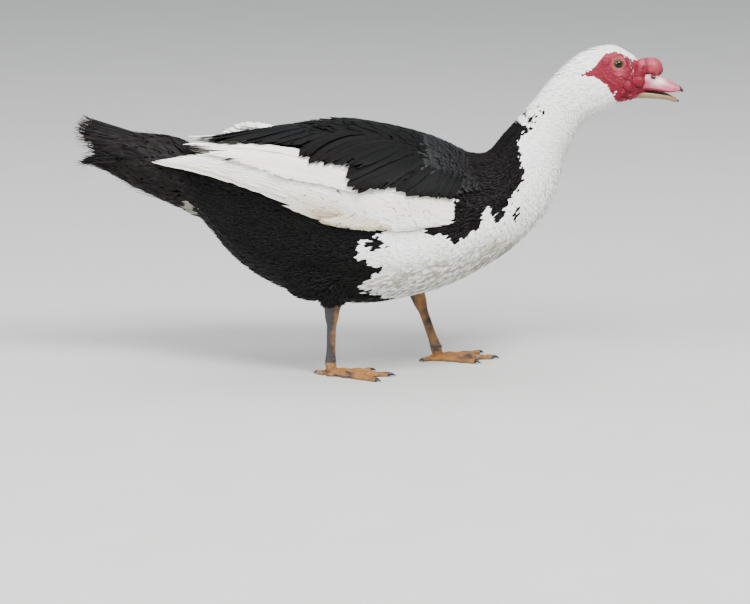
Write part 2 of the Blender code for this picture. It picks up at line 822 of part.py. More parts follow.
def shoulder_feathers(side):
    made = []
    for tip_x, tip_turn, ahead, root_turn, half, lift in SHOULDER_FEATHERS:
        path = line((tip_x + ahead, math.radians(root_turn)), (tip_x, math.radians(tip_turn)))
        sunk = max(shoulder_level(tip_x + ahead) - 3.0, -1.0)
        made.append(feather(shell(side), path, half, (sunk, lift), tilt=0.06, facing=-side))
    return made


def build_wings():
    for name, side in SIDES.items():
        wing = [wing_core(side)] + wing_coverts(side)
        wing += [flight_feather(side, number) for number in range(FLIGHT_COUNT)]
        shoulder = [shoulder_core(side)] + shoulder_feathers(side)
        for node, pieces, colour in (("wing", wing, WHITE_FEATHER), ("scapulars", shoulder, BLACK_FEATHER)):
            body_node(f"{node}_{name}", pieces, colour, 0.7, [torso(CLEAR), tail_core(CLEAR)])


# Tail

tail_columns = columns(TAIL_STATIONS)


def on_tail(station, angle):
    """A point of the tail's core, at an angle in radians from the bird's left to its back."""
    top_x, top_z, low_x, low_z, wide = (curve(station) for curve in tail_columns)
    top, low = Vector((top_x, 0, top_z)), Vector((low_x, 0, low_z))
    centre = (top + low) / 2 + Vector((0, wide * math.cos(angle), 0))
    return centre + (top - low) / 2 * math.sin(angle)


def tail_core(grow=0.0):
    rings = []
    for i in range(8):
        station = TAIL_FRONT + (len(TAIL_STATIONS) - 1 - TAIL_FRONT) * i / 7
        centre = (on_tail(station, 0) + on_tail(station, math.pi)) / 2
        ring = []
        for j in range(TAIL_SIDES):
            p = on_tail(station, math.tau * (j + 0.5) / TAIL_SIDES)
            ring.append(p + (p - centre).normalized() * grow)
        rings.append(ring)
    return loft(rings)


def on_fan(reach, across):
    """A point of the spread tail, by its share from root to tip and from the middle to a side."""
    length = (FAN_TIP_X - FAN_ROOT_X) * (1 - 0.16 * across**2)
    half = FAN_HALF_ROOT + (FAN_HALF_TIP - FAN_HALF_ROOT) * reach
    up = FAN_HEIGHT + FAN_RISE * reach - FAN_DROP * across**2 * (0.55 + 0.45 * reach)
    return Vector((FAN_ROOT_X + length * reach, across * half, up))


def tail_feathers():
    made = []
    for number in range(-TAIL_FEATHERS_A_SIDE, TAIL_FEATHERS_A_SIDE + 1):
        across = number / TAIL_FEATHERS_A_SIDE
        length = 1 + dice.uniform(-0.05, 0.03)
        path = line((0.0, across * 0.7), (length, across))
        level = FAN_STACK * (TAIL_FEATHERS_A_SIDE / 2 - abs(number))
        made.append(feather(on_fan, path, 8.6, (level, level), shape=TAIL_VANE))
    return made


def tail_covert(tip_x, across, above):
    """One of the coverts over or under the tail's root."""
    stations = len(TAIL_STATIONS) - 1
    tip = min((i / 40 for i in range(40 * stations)), key=lambda k: abs(tail_columns[0](k) - tip_x))
    angle = math.radians(90 - 62 * across if above else 270 + 62 * across)
    path = line((max(tip - 1.4, 0.15), angle), (tip, angle))
    return feather(on_tail, path, 9.5, (-1.6, 2.0))


def build_tail():
    coverts = [tail_covert(x, across, True) for x, across in RUMP_FEATHERS]
    coverts += [tail_covert(x, across, False) for x, across in VENT_FEATHERS]
    body_node("tail", [tail_core()] + tail_feathers() + coverts, BLACK_FEATHER, 0.7)


# Legs


def foot_centre(leg):
    x, y, z = leg["ankle"]
    return Vector((x, y * leg["side"], z))


def toe_direction(leg, angle):
    turn = math.radians(leg["toe_out"] + angle) * leg["side"]
    return Vector((math.cos(turn), math.sin(turn), 0))


def toe_line(leg, name):
    """A toe's centre line and radii, from the ball of the foot to the end of its last joint."""
    angle, length, thick, thin, _ = TOES[name]
    start, ahead, steps = foot_centre(leg), toe_direction(leg, angle), 5
    points, radii = [], []
    for i in range(steps + 1):
        t = i / steps
        radius = thick + (thin - thick) * t
        pads = 0.45 * math.cos(3 * math.tau * t)
        height = radius * 0.86 + 2.5 * (1 - t) ** 3
        points.append(Vector((start.x, start.y, height)) + ahead * length * t)
        radii.append(radius * 0.6 if i == 0 else radius + pads)
    return points, radii


def web(leg, first, second):
    """The thin membrane between two toes, its front edge curved in."""
    start = foot_centre(leg)
    ends = [start + toe_direction(leg, TOES[name][0]) * TOES[name][1] * 0.93 for name in (first, second)]
    middle = start.lerp((ends[0] + ends[1]) / 2, 0.8)
    outline = [start - toe_direction(leg, 0) * 3]
    for i in range(6):
        t = i / 5
        outline.append(ends[0].lerp(ends[1], t).lerp(middle, 1.8 * t * (1 - t)))
    count = len(outline)
    points = [(p.x, p.y, z) for z in (WEB_BOTTOM, WEB_TOP) for p in outline]
    faces = [list(range(count)), list(range(count, 2 * count))]
    faces += [[i, (i + 1) % count, (i + 1) % count + count, i + count] for i in range(count)]
    return mesh_from(points, faces)


def sole(leg):
    """The round pad under the ball of the foot, flat where it stands."""
    centre = foot_centre(leg)
    made = ellipsoid((centre.x + 2, centre.y, 2.6), (8.5, 7.5, 4.2), 10, 6)
    for corner in made.verts:
        corner.co.z = max(corner.co.z, 0)
    return made


def thigh(hock, axis, side):
    """Feathered thigh, from inside the belly to just above the hock."""
    hip = hock + Vector((18, -6 * side, 60))
    end = hock - axis * GAP
    bend = end - axis * 36
    points = [hip.lerp(bend, t).lerp(bend.lerp(end, t), t) for t in (0, 0.3, 0.55, 0.8, 0.93, 1)]
    cone = tube(points, (34, 31, 26, 17, 11.5, 9.6), 12, end_along=axis)
    drumstick = ellipsoid(hock + Vector((-18, 6 * side, 48)), (44, 24, 32), 12, 8, -8)
    return [cone, drumstick]


def claw(leg, toe):
    points, radii = toe_line(leg, toe)
    ahead = (points[-1] - points[-2]).normalized()
    start, length = points[-1] + ahead * GAP, TOES[toe][4]
    centres, thin = [], []
    for i in range(4):
        t = i / 3
        p = start + ahead * length * t
        p.z = max(start.z + 1.2 * math.sin(math.pi * t) - (start.z - 0.9) * t * t, 0.5)
        centres.append(p)
        thin.append((radii[-1] - 0.6) * (1 - t) ** 0.8 + 0.35)
    return tube(centres, thin, 6, floors=[0.0], start_along=ahead)


def build_leg(name, leg):
    side, ankle = leg["side"], foot_centre(leg)
    hock = Vector((leg["hock"][0], leg["hock"][1] * side, leg["hock"][2]))
    axis = (ankle - hock).normalized()
    body_node("thigh_" + name, thigh(hock, axis, side), BLACK_FEATHER, 0.8, [torso(CLEAR)])

    low = ankle - axis
    points = [hock, hock + axis * 8, hock.lerp(low, 0.35), hock.lerp(low, 0.75), low]
    body_node("shank_" + name, [tube(points, (8.4, 8.0, 5.8, 5.6, 6.8), 12)], LEG_SKIN, 0.5)

    ball = low + axis * GAP
    points = [ball, ball + axis * 5, Vector((ankle.x + 3, ankle.y, 4.6))]
    pieces = [tube(points, (6.8, 7.4, 5.4), 12, floors=[0.9]), sole(leg)]
    for i, toe in enumerate(TOES):
        centres, radii = toe_line(leg, toe)
        under_ball = 0.3 + 0.12 * i
        pieces.append(tube(centres, radii, 6, floors=[under_ball, under_ball, 0.0]))
        body_node(f"claw_{name}_{toe}", [claw(leg, toe)], DARK_HORN, 0.4)
    pieces += [web(leg, "middle", "outer"), web(leg, "middle", "inner")]
    # EXACT leaves open edges where the toes, the pad and the webs stand on one plane.
    body_node("foot_" + name, pieces, WEB_SKIN, 0.5, solver="MANIFOLD")


def main():
    for obj in list(bpy.data.objects):
        bpy.data.objects.remove(obj)
    build_torso_and_neck()
    build_head()
    build_bill()
    build_wings()
    build_tail()
    for name, leg in LEGS.items():
        build_leg(name, leg)


main()
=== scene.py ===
# A Muscovy duck drake, life size, as a museum would show it: standing, neck stretched forward.
# Its plumage lies over one skin, and the bare face, bill, eyes, legs and feet are their own pieces.
import math

import bmesh
import bpy
import numpy as np
from mathutils import Matrix, Vector, noise


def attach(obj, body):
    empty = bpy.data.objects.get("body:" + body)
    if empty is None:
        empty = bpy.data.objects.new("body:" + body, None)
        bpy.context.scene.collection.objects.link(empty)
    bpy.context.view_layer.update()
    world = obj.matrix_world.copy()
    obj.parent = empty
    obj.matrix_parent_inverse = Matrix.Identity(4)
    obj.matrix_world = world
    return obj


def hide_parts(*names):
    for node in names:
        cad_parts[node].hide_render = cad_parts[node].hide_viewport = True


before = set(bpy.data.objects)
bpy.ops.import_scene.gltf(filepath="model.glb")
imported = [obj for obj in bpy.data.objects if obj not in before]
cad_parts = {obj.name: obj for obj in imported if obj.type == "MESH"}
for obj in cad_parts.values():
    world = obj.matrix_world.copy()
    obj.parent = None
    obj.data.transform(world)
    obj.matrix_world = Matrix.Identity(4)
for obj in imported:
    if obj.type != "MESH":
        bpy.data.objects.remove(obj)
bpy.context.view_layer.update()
bpy.ops.object.select_all(action="DESELECT")

# Camera, floor and light. A long lens looks at the bird's right side from a little above, and
# soft lamps stand round a pale seamless floor. Pictures are 750 pixels wide, and lengths are
# in millimetres until a mesh is made.
MM = 0.001
SIDES = {"right": -1, "left": 1}
PICTURE = (750, 604)
PIXEL = 1.28  # real width of a pixel at the bird
AIM = (-9.6, 0, 89.3)
ELEVATION = math.radians(12)
DISTANCE = 5000
NEARER = 70  # how much nearer than that the bird's middle is
SENSOR = 36


def linear(colour, alpha=1):
    """An sRGB hex value as linear red, green and blue, with alpha."""
    parts = [int(colour[i : i + 2], 16) / 255 for i in (1, 3, 5)]
    return [p / 12.92 if p < 0.04045 else ((p + 0.055) / 1.055) ** 2.4 for p in parts] + [alpha]


def add(tree, kind, inputs=(), **settings):
    """Adds a shader node. Its inputs are values, or nodes or outputs to link from."""
    node = tree.nodes.new("ShaderNode" + kind)
    for name, value in settings.items():
        setattr(node, name, value)
    for name, value in dict(inputs).items():
        if isinstance(value, bpy.types.Node):
            value = value.outputs[0]
        if isinstance(value, bpy.types.NodeSocket):
            tree.links.new(value, node.inputs[name])
        else:
            node.inputs[name].default_value = value
    return node


def new_material(name):
    """A material with only its output node, and its node tree."""
    material = bpy.data.materials.new(name)
    material.use_nodes = True
    material.node_tree.nodes.clear()
    return material, material.node_tree


def finish_material(tree, inputs):
    """Ends a material's nodes with one Principled BSDF."""
    shader = add(tree, "BsdfPrincipled", inputs)
    add(tree, "OutputMaterial", {"Surface": shader})


back_off = Vector((0, -math.cos(ELEVATION), math.sin(ELEVATION))) * DISTANCE
bpy.ops.object.camera_add(
    location=(Vector(AIM) + back_off) * MM, rotation=(math.pi / 2 - ELEVATION, 0, 0)
)
camera = bpy.context.object
camera.data.sensor_width = SENSOR
camera.data.lens = SENSOR * (DISTANCE - NEARER) / (PICTURE[0] * PIXEL)
camera.data.clip_end = 60
bpy.context.scene.camera = camera

LAMPS = [
    # place in metres, width in metres, watts
    ((1.4, -2.4, 3.4), 1.8, 375),
    ((-2.8, -2.2, 1.7), 2.0, 190),
    ((-0.1, 0.6, 3.0), 2.4, 60),
]
for place, width, watts in LAMPS:
    bpy.ops.object.light_add(type="AREA", location=place)
    lamp = bpy.context.object
    lamp.data.energy = watts
    lamp.data.size = width
    towards = Vector((0, 0, 0.2)) - Vector(place)
    lamp.rotation_euler = towards.to_track_quat("-Z", "Y").to_euler()

world = bpy.data.worlds.new("studio")
world.use_nodes = True
world.node_tree.nodes["Background"].inputs["Color"].default_value = linear("#e8edf2")
world.node_tree.nodes["Background"].inputs["Strength"].default_value = 0.62
bpy.context.scene.world = world

bpy.ops.mesh.primitive_plane_add(size=30)
floor = bpy.context.object
floor.name = "floor"
# Matt paint with a faint mottle, so that the floor has no glare
material, tree = new_material("painted studio floor")
place = add(tree, "TexCoord").outputs["Object"]
mottle = add(tree, "TexNoise", {"Vector": place, "Scale": 9.0})
shade = add(tree, "MixRGB", {0: mottle, 1: linear("#b7b9b5"), 2: linear("#bec0bc")})
finish_material(tree, {"Base Color": shade, "Roughness": 0.9})
floor.data.materials.append(material)


# The bird's form. Body, neck and head follow flat sections, square to the side view, from the
# tail root to the bill root. Each has its back point (x, z), belly point (x, z) and half width.
STATIONS = [
    (-232, 290, -232, 198, 36),  # tail root
    (-184, 298, -184, 144, 57),  # rump
    (-118, 311, -118, 107, 76),  # hips
    (-32, 315, -28, 91, 91),  # loin
    (58, 298, 62, 107, 92),  # shoulders
    (126, 284, 171, 166, 75),  # crop
    (158, 313, 219, 223, 50),  # neck root
    (190, 349, 240, 294, 34),  # mid neck
    (222, 387, 263, 331, 29),  # throat
    (256, 415, 291, 343, 27.5),  # nape
    (291, 425, 308, 351, 27),  # crown
    (317, 415, 323, 356, 22),  # brow
    (337, 395, 338, 362, 12),  # bill root
]
FULLNESS = 2.25  # 2 is an ellipse, and more is squarer
EGG = 0.07  # how much wider the belly is than the back


def curves(keys, rows):
    """Smooth curves through the columns of a table, straight beyond its ends."""
    keys = np.array(keys, float)
    values = np.array(rows, float).reshape(len(keys), -1)
    spans = np.diff(keys)[:, None]
    rises = np.diff(values, axis=0) / spans
    same_way = rises[:-1] * rises[1:] > 0
    total = np.where(same_way, rises[:-1] + rises[1:], 1)
    slopes = np.vstack([rises[:1], np.where(same_way, 2 * rises[:-1] * rises[1:] / total, 0), rises[-1:]])

    def at(key):
        key = np.asarray(key, float)
        i = np.clip(np.searchsorted(keys, key, "right") - 1, 0, len(keys) - 2)
        t = ((key - keys[i]) / spans[i, 0])[..., None]
        k = np.clip(t, 0, 1)
        a, b = slopes[i] * spans[i], slopes[i + 1] * spans[i]
        bend = (2 * k**3 - 3 * k**2 + 1) * values[i] + (3 * k**2 - 2 * k**3) * values[i + 1]
        bend += (k**3 - 2 * k**2 + k) * a + (k**3 - k**2) * b
        return bend + (t - k) * np.where(t < 0, a, b)

    return at


def lofted(stations, fullness, egg):
    """A surface through flat sections, by station and by angle from the bird's left to its back."""
    section = curves(range(len(stations)), stations)

    def place(p, q):
        back_x, back_z, belly_x, belly_z, half = np.moveaxis(section(p), -1, 0)
        c, s = np.cos(q), np.sin(q)
        across = np.sign(c) * np.abs(c) ** (2 / fullness) * (1 - egg * s) * half
        rise = np.sign(s) * np.abs(s) ** (2 / fullness)
        x = (back_x + belly_x) / 2 + (back_x - belly_x) / 2 * rise
        z = (back_z + belly_z) / 2 + (back_z - belly_z) / 2 * rise
        return np.stack([x, across, z], -1)

    return place


on_body = lofted(STATIONS, FULLNESS, EGG)


def slopes_of(surface, p, q, step=0.006):
    """How a surface runs for a unit of p and for a unit of q."""
    along = (surface(p + step, q) - surface(p - step, q)) / (2 * step)
    across = (surface(p, q + step) - surface(p, q - step)) / (2 * step)
    return along, across


def blend(low, high, at):
    """A smooth step from 0 at low to 1 at high."""
    t = np.clip((np.asarray(at, float) - low) / (high - low), 0, 1)
    return t * t * (3 - 2 * t)


def size_of(vectors):
    return np.sqrt((vectors**2).sum(-1))


def waves(p, q, seed, pitch_p, pitch_q):
    """Smooth uneven numbers from -1 to 1 over a surface, of a few crossed waves."""
    draw = np.random.default_rng(seed)
    total = 0
    for _ in range(6):
        turn, phase, pace = draw.uniform(0, math.tau, 2).tolist() + [draw.uniform(0.6, 1.7)]
        way = p / pitch_p * math.cos(turn) + q / pitch_q * math.sin(turn)
        total = total + np.sin(pace * way * math.tau + phase)
    return total / 3


# The markings, in pixels of the picture. The plumage is black with a bottle-green gloss, and
# brownish purple round the neck's base. Head, neck front, breast and wings are white. The
# outline goes down the back of the neck, round the breast's tongues and the flank's lobe.
WHITE_FRONT = [
    (505, 95), (518, 121), (531, 128), (520, 136), (519, 144), (521, 161), (525, 169),
    (523, 179), (520, 188), (509, 197), (507, 206), (504, 217), (500, 225), (495, 218),
    (492, 207), (489, 200), (488, 212), (484, 222), (482, 232), (477, 228), (466, 236),
    (456, 244), (449, 237), (441, 234), (437, 237), (424, 228), (423, 222), (400, 222),
    (387, 231), (373, 237), (361, 242), (358, 251), (361, 259), (374, 266), (386, 269),
    (376, 277), (363, 287), (369, 293), (381, 296), (404, 300), (440, 340),
    (660, 340), (660, 20), (520, 20),
]
WHITE_SPECKS = [((195, 212), (4, 6))]
BLACK_SPECKS = [
    ((377, 244), (8, 5)), ((511, 205), (2, 3)), ((519, 214), (3, 4)), ((525, 113), (2.2, 1.6)),
    ((529, 116), (2, 1.6)), ((532, 118), (1.8, 1.8)), ((535, 114), (2, 1.4)), ((538, 107), (1.8, 1)),
    ((542, 112), (1.8, 1.3)), ((526, 110), (1.6, 1)), ((531, 121), (2.4, 1.5)),
]
PURPLE_PLACE, PURPLE_REACH = (480, 195), 75
# Places stained cream or grey by water and soil: middle, radii, strength
STAINS = [
    ((346, 220), (26, 12), 1.0), ((310, 202), (70, 12), 0.5), ((430, 208), (30, 14), 0.3),
    ((400, 285), (46, 9), 0.85), ((452, 271), (46, 11), 1.0), ((500, 250), (34, 12), 0.8),
    ((560, 120), (14, 40), 0.15),
]


def seen_at(points):
    """Where points show in the picture, those of the left side as if mirrored to the right."""
    x, y, z = np.moveaxis(points - np.array(AIM), -1, 0)
    y = -np.abs(y)
    depth = DISTANCE + y * math.cos(ELEVATION) - z * math.sin(ELEVATION)
    up = y * math.sin(ELEVATION) + z * math.cos(ELEVATION)
    scale = (DISTANCE - NEARER) / depth / PIXEL
    return PICTURE[0] / 2 + x * scale, PICTURE[1] / 2 - up * scale


def inside(u, v, outline):
    """Which places lie inside an outline."""
    hit = np.zeros(np.shape(u), bool)
    for (x0, y0), (x1, y1) in zip(outline, outline[1:] + outline[:1]):
        if y0 != y1:
            hit ^= ((y0 > v) != (y1 > v)) & (u < (x1 - x0) * (v - y0) / (y1 - y0) + x0)
    return hit


def markings(points):
    """Whiteness, and the tint: how green the black is, or how clean the white is, from 0 to 1."""
    u, v = seen_at(points)
    white = inside(u, v, WHITE_FRONT)
    for (x, y), (wide, high) in WHITE_SPECKS:
        white |= ((u - x) / wide) ** 2 + ((v - y) / high) ** 2 < 1
    for (x, y), (wide, high) in BLACK_SPECKS:
        white &= ((u - x) / wide) ** 2 + ((v - y) / high) ** 2 > 1
    purple = np.exp(-((np.hypot(u - PURPLE_PLACE[0], v - PURPLE_PLACE[1]) / PURPLE_REACH) ** 2))
    return white.astype(float), np.where(white, 1 - stain_at(u, v), 1 - purple)


def stain_at(u, v):
    """How stained the white is at places of the picture."""
    total = 0
    for (x, y), (wide, high), strength in STAINS:
        total = total + strength * np.exp(-(((u - x) / wide) ** 2 + ((v - y) / high) ** 2))
    streaks = 0.9 + 0.9 * np.sin((v + 0.38 * u) * 1.15 + 1.6 * np.sin(u * 0.045))
    return np.clip(total * (1 + (streaks - 1) * blend(238, 250, v)), 0, 1)


# Feather material. Keratin barbs hook into a vane: dark ones scatter light as a gloss that
# runs from bottle green to purple brown, and pale ones are chalky and slightly cream. The
# attribute Plumage holds whiteness, each feather's own tone, the share along it and its tint.
BARB_PITCH = 1.7  # millimetres, drawn coarser than real barbs so that they show
STRAND = (0.035, 0.55, 1.0)  # per millimetre along and across: barbs clump into strands


def feather_material(name, roughness, wear_and_sheen, strands, shine, wear_and_sheen_to="#2a1d17"):
    material, tree = new_material(name)
    plumage = add(tree, "Attribute", attribute_name="Plumage")
    parts = add(tree, "SeparateColor", {0: plumage})
    white, tone, along = parts.outputs
    tint = plumage.outputs["Alpha"]
    place = add(tree, "TexCoord").outputs["Object"]
    broad = add(tree, "TexNoise", {"Vector": place, "Scale": 28.0, "Detail": 3.0})
    fine = add(tree, "TexNoise", {"Vector": place, "Scale": 420.0, "Detail": 2.0})
    vane_map = add(tree, "UVMap", uv_map="Vane")
    drawn = add(tree, "Mapping", {"Vector": vane_map, "Scale": STRAND})
    strand = add(tree, "TexNoise", {"Vector": drawn, "Scale": 1.0, "Detail": 2.0})

    gloss = add(tree, "MixRGB", {0: tint, 1: linear("#1b1518"), 2: linear("#050808")})
    dull = add(tree, "MixRGB", {0: tone, 1: gloss, 2: linear("#040404")})
    # Tips are mixed by broad noise towards a second colour: brown wear on most feathers, and on the shoulder
    # feathers a grey that is partly their pale edges and partly painted sheen
    worn = add(tree, "MapRange", {0: along, 1: 0.55, 2: 1.0, 3: 0.0, 4: wear_and_sheen})
    wear_and_sheen_here = add(tree, "Math", {0: worn, 1: broad}, operation="MULTIPLY")
    black = add(tree, "MixRGB", {0: wear_and_sheen_here, 1: dull, 2: linear(wear_and_sheen_to)})

    cream = add(tree, "MapRange", {0: broad, 1: 0.42, 2: 0.75, 3: 0.0, 4: 0.35})
    clean = add(tree, "MixRGB", {0: cream, 1: linear("#f8f7f6"), 2: linear("#ebe7dc")})
    soiled = add(tree, "MapRange", {0: tint, 1: 0.0, 2: 1.0, 3: 1.6, 4: 0.0})
    soiled_here = add(tree, "Math", {0: soiled, 1: strand}, operation="MULTIPLY")
    level = add(tree, "SeparateXYZ", {0: place})
    higher = add(tree, "MapRange", {0: level.outputs[2], 1: 0.17, 2: 0.2})
    soil = add(tree, "MixRGB", {0: higher, 1: linear("#8a8468"), 2: linear("#ab9064")})
    stained = add(tree, "MixRGB", {0: soiled_here, 1: clean, 2: soil})
    shadow = add(tree, "MapRange", {0: along, 1: 0.0, 2: 0.8, 3: 0.35, 4: 0.0})
    shaded = add(tree, "MixRGB", {0: shadow, 1: stained, 2: linear("#d8d6d1")})
    varied = add(tree, "Math", {0: tone, 1: strand}, operation="MULTIPLY")
    faded = add(tree, "MapRange", {0: varied, 1: 0.1, 2: 0.7, 3: 0.0, 4: 0.3})
    pale = add(tree, "MixRGB", {0: faded, 1: shaded, 2: linear("#cfccc8")})
    colour = add(tree, "MixRGB", {0: white, 1: black, 2: pale})

    u_v = add(tree, "SeparateXYZ", {0: vane_map})
    spread = add(tree, "Math", {0: u_v.outputs[1]}, operation="ABSOLUTE")
    slanted = add(tree, "Math", {0: spread, 1: -0.8, 2: u_v}, operation="MULTIPLY_ADD")
    turned = add(tree, "Math", {0: slanted, 1: math.tau / BARB_PITCH}, operation="MULTIPLY")
    ridges = add(tree, "Math", {0: turned}, operation="SINE")
    barbs = add(tree, "Math", {0: ridges, 1: 0.25, 2: fine}, operation="MULTIPLY_ADD")
    height = add(tree, "Math", {0: strand, 1: strands, 2: barbs}, operation="MULTIPLY_ADD")
    bump = add(tree, "Bump", {"Height": height, "Strength": 0.4, "Distance": 0.0006})
    rough = add(tree, "MapRange", {0: white, 1: 0.0, 2: 1.0, 3: roughness, 4: 0.8})
    finish_material(
        tree,
        {
            "Base Color": colour,
            "Roughness": rough,
            "Normal": bump,
            "Specular IOR Level": shine,
        },
    )
    return material


body_feather = feather_material("body feathers, keratin", 0.5, 0.15, 1.0, 0.1)
# Painted sheen: the shoulder feathers' tips turn pale grey, partly their pale edges and partly sky light
# painted in
shoulder_feather = feather_material("shoulder feathers, keratin", 0.5, 1.0, 1.2, 0.28, "#303132")
vane_feather = feather_material("vaned feathers, keratin", 0.5, 0.15, 1.4, 0.08)
worn_feather = feather_material("worn tail feathers, keratin", 0.55, 0.4, 2.0, 0.14)


# Skin under the plumage: body, thighs and the tail's core as one surface, sunk by the depth
# of the coat, as a tanned and mounted skin is. Its colours are the plumage's own.
TAIL_STATIONS = [
    (-232, 290, -232, 198, 36),
    (-262, 305, -256, 211, 38),
    (-300, 311, -292, 228, 36),
    (-332, 311, -328, 247, 30),
    (-354, 309, -352, 262, 18),
    (-400, 311, -400, 284, 12),
]
HOCKS = {"right": (-65, -44, 86), "left": (47, 50, 86)}
ANKLES = {"right": (-67, -38, 19), "left": (70, 52, 19)}
TOE_OUT = {"right": 4, "left": 5}
SKIN_VOXEL = 2.8
# How deep the skin lies under the coat elsewhere than on the body, in millimetres
TAIL_DEPTH, THIGH_DEPTH, DRUMSTICK_DEPTH = 5.0, 3.0, 4
TAIL_ENDS = (-0.6, 3.6)  # in stations
on_tail = lofted(TAIL_STATIONS, 2, 0)


def mesh_object(name, points, corners, sizes):
    """An object from points in millimetres, and its faces' corners and their counts."""
    mesh = bpy.data.meshes.new(name)
    mesh.vertices.add(len(points))
    mesh.vertices.foreach_set("co", (points * MM).astype(np.float32).ravel())
    mesh.loops.add(len(corners))
    mesh.loops.foreach_set("vertex_index", np.asarray(corners, np.int32))
    mesh.polygons.add(len(sizes))
    starts = np.concatenate([[0], np.cumsum(sizes)[:-1]])
    mesh.polygons.foreach_set("loop_start", starts.astype(np.int32))
    mesh.update(calc_edges=True)
    mesh.shade_smooth()
    obj = bpy.data.objects.new(name, mesh)
    bpy.context.scene.collection.objects.link(obj)
    return obj


def tube_object(name, rings):
    """A closed tube through rings of points, all of one count."""
    count, sides = len(rings), len(rings[0])
    corners, sizes = [], []
    for r in range(count - 1):
        for i in range(sides):
            a, b = r * sides + i, r * sides + (i + 1) % sides
            corners += [a, b, b + sides, a + sides]
            sizes.append(4)
    corners += list(reversed(range(sides))) + list(range((count - 1) * sides, count * sides))
    sizes += [sides, sides]
    obj = mesh_object(name, np.concatenate(rings), corners, sizes)
    outwards(obj)
    return obj


def outwards(obj):
    """Turns an object's faces outwards."""
    made = bmesh.new()
    made.from_mesh(obj.data)
    bmesh.ops.recalc_face_normals(made, faces=made.faces)
    made.to_mesh(obj.data)
    made.free()


def apply_modifier(obj, kind, **settings):
    """Adds a modifier to an object and applies it."""
    bpy.context.view_layer.objects.active = obj
    step = obj.modifiers.new(kind.lower(), kind)
    for name, value in settings.items():
        setattr(step, name, value)
    bpy.ops.object.modifier_apply(modifier=step.name)


def join(objects, name):
    """Joins objects into one with that name."""
    bpy.ops.object.select_all(action="DESELECT")
    for obj in objects:
        obj.select_set(True)
    bpy.context.view_layer.objects.active = objects[0]
    bpy.ops.object.join()
    joined = bpy.context.object
    joined.name = name
    bpy.ops.object.select_all(action="DESELECT")
    return joined


def sunk_rings(surface, at, sides, depth):
    """Rings of a surface seen along p, each point sunk towards the middle of its ring."""
    q = math.tau * (np.arange(sides) + 0.5) / sides
    rings = []
    for p, sink in zip(at, depth):
        ring = surface(np.full(sides, p), q)
        inwards = ring.mean(0) - ring
        rings.append(ring + inwards / size_of(inwards)[:, None] * sink)
    return rings


def round_off(rings, turns, reach):
    """Adds rings that round the front end off, at degrees of its curve."""
    last = rings[-1]
    for turn in np.radians(turns):
        shrunk = (last - last.mean(0)) * math.cos(turn)
        rings.append(last.mean(0) + shrunk + (reach * math.sin(turn), 0, 0))


def tube_rings(points, radii, sides):
    """Round rings along points."""
    points = [Vector(p) for p in points]
    rings = []
    for i, centre in enumerate(points):
        ahead = (points[min(i + 1, len(points) - 1)] - points[max(i - 1, 0)]).normalized()
        across = ahead.cross(Vector((0, 0, 1)))
        across = Vector((0, 1, 0)) if across.length < 0.2 else across.normalized()
        up = across.cross(ahead)
        turns = [math.tau * (j + 0.5) / sides for j in range(sides)]
        ring = [centre + (across * math.cos(t) + up * math.sin(t)) * radii[i] for t in turns]
        rings.append(np.array(ring))
    return rings


def ellipsoid(centre, radii, turn=0.0, segments=24, rings=14):
    """An ellipsoid, pitched about Y by turn degrees."""
    bpy.ops.mesh.primitive_uv_sphere_add(segments=segments, ring_count=rings, radius=MM)
    obj = bpy.context.object
    place = Matrix.Translation(Vector(centre) * MM) @ Matrix.Rotation(math.radians(turn), 4, "Y")
    obj.data.transform(place @ Matrix.Diagonal((*radii, 1)))
    return obj


HIP_AHEAD, HIP_IN, HIP_ABOVE, BEND_ABOVE = 18, 6, 60, 36  # from the hock


def thigh_line(name):
    """Centre line of a thigh, from the hip to just above the hock."""
    hock, ankle = Vector(HOCKS[name]), Vector(ANKLES[name])
    axis = (ankle - hock).normalized()
    hip = hock + Vector((HIP_AHEAD, -HIP_IN * SIDES[name], HIP_ABOVE))
    bend = hock - axis * BEND_ABOVE
    return [hip.lerp(bend, t).lerp(bend.lerp(hock, t), t) for t in (0, 0.3, 0.55, 0.8, 0.93, 1)]


THIGH_RADII = (34, 31, 26, 17, 11.5, 9.6)
DRUMSTICK_PLACE, DRUMSTICK_RADII, DRUMSTICK_TURN = (-18, 6, 48), (44, 24, 32), -8
COAT_DEPTH = [(0, 5.0), (5, 5.0), (6.5, 3.4), (8, 2.4), (9, 1.4), (12, 1.0)]

HEAD = np.array((302, 0, 407))
# The bare mask's edge, forward and up from HEAD, with its tail behind and open ahead
MASK_EDGE = [
    (27, -3.0), (22, -0.6), (16, 1.8), (13, 3.0), (8.7, 6.6), (2.3, 10.2), (-6.2, 12.2), (-12.5, 11.2),
    (-18.4, 7.4), (-23, 1.8), (-28, -5), (-33, -9.0), (-46, -13), (-46, -16.8), (-32, -16.6),
    (-24.5, -20), (-19.4, -25.4), (-14.2, -29.5), (-10, -36.5), (-5.7, -41.7), (-4.8, -47),
    (1.2, -52), (12, -56), (24, -62), (110, -62), (110, 1.5), (31, 1.5),
]
FACE_DEPTH = 5  # how far under the face the skin stays
FACE_BACK, FACE_BELOW = 45, 60  # how far the face reaches from the head's origin


def edge_distance(x, z, outline):
    """How far inside an outline places are, and less than 0 outside it."""
    nearest = np.full(np.shape(x), 1e9)
    for (x0, z0), (x1, z1) in zip(outline, outline[1:] + outline[:1]):
        run = (x1 - x0) ** 2 + (z1 - z0) ** 2
        t = np.clip(((x - x0) * (x1 - x0) + (z - z0) * (z1 - z0)) / run, 0, 1)
        nearest = np.minimum(nearest, np.hypot(x - x0 - t * (x1 - x0), z - z0 - t * (z1 - z0)))
    return np.where(inside(x, z, outline), nearest, -nearest)


def in_mask(points):
    """How far inside the bare mask points of the head are, and less than 0 outside it."""
    return edge_distance(points[..., 0] - HEAD[0], points[..., 2] - HEAD[2], MASK_EDGE)


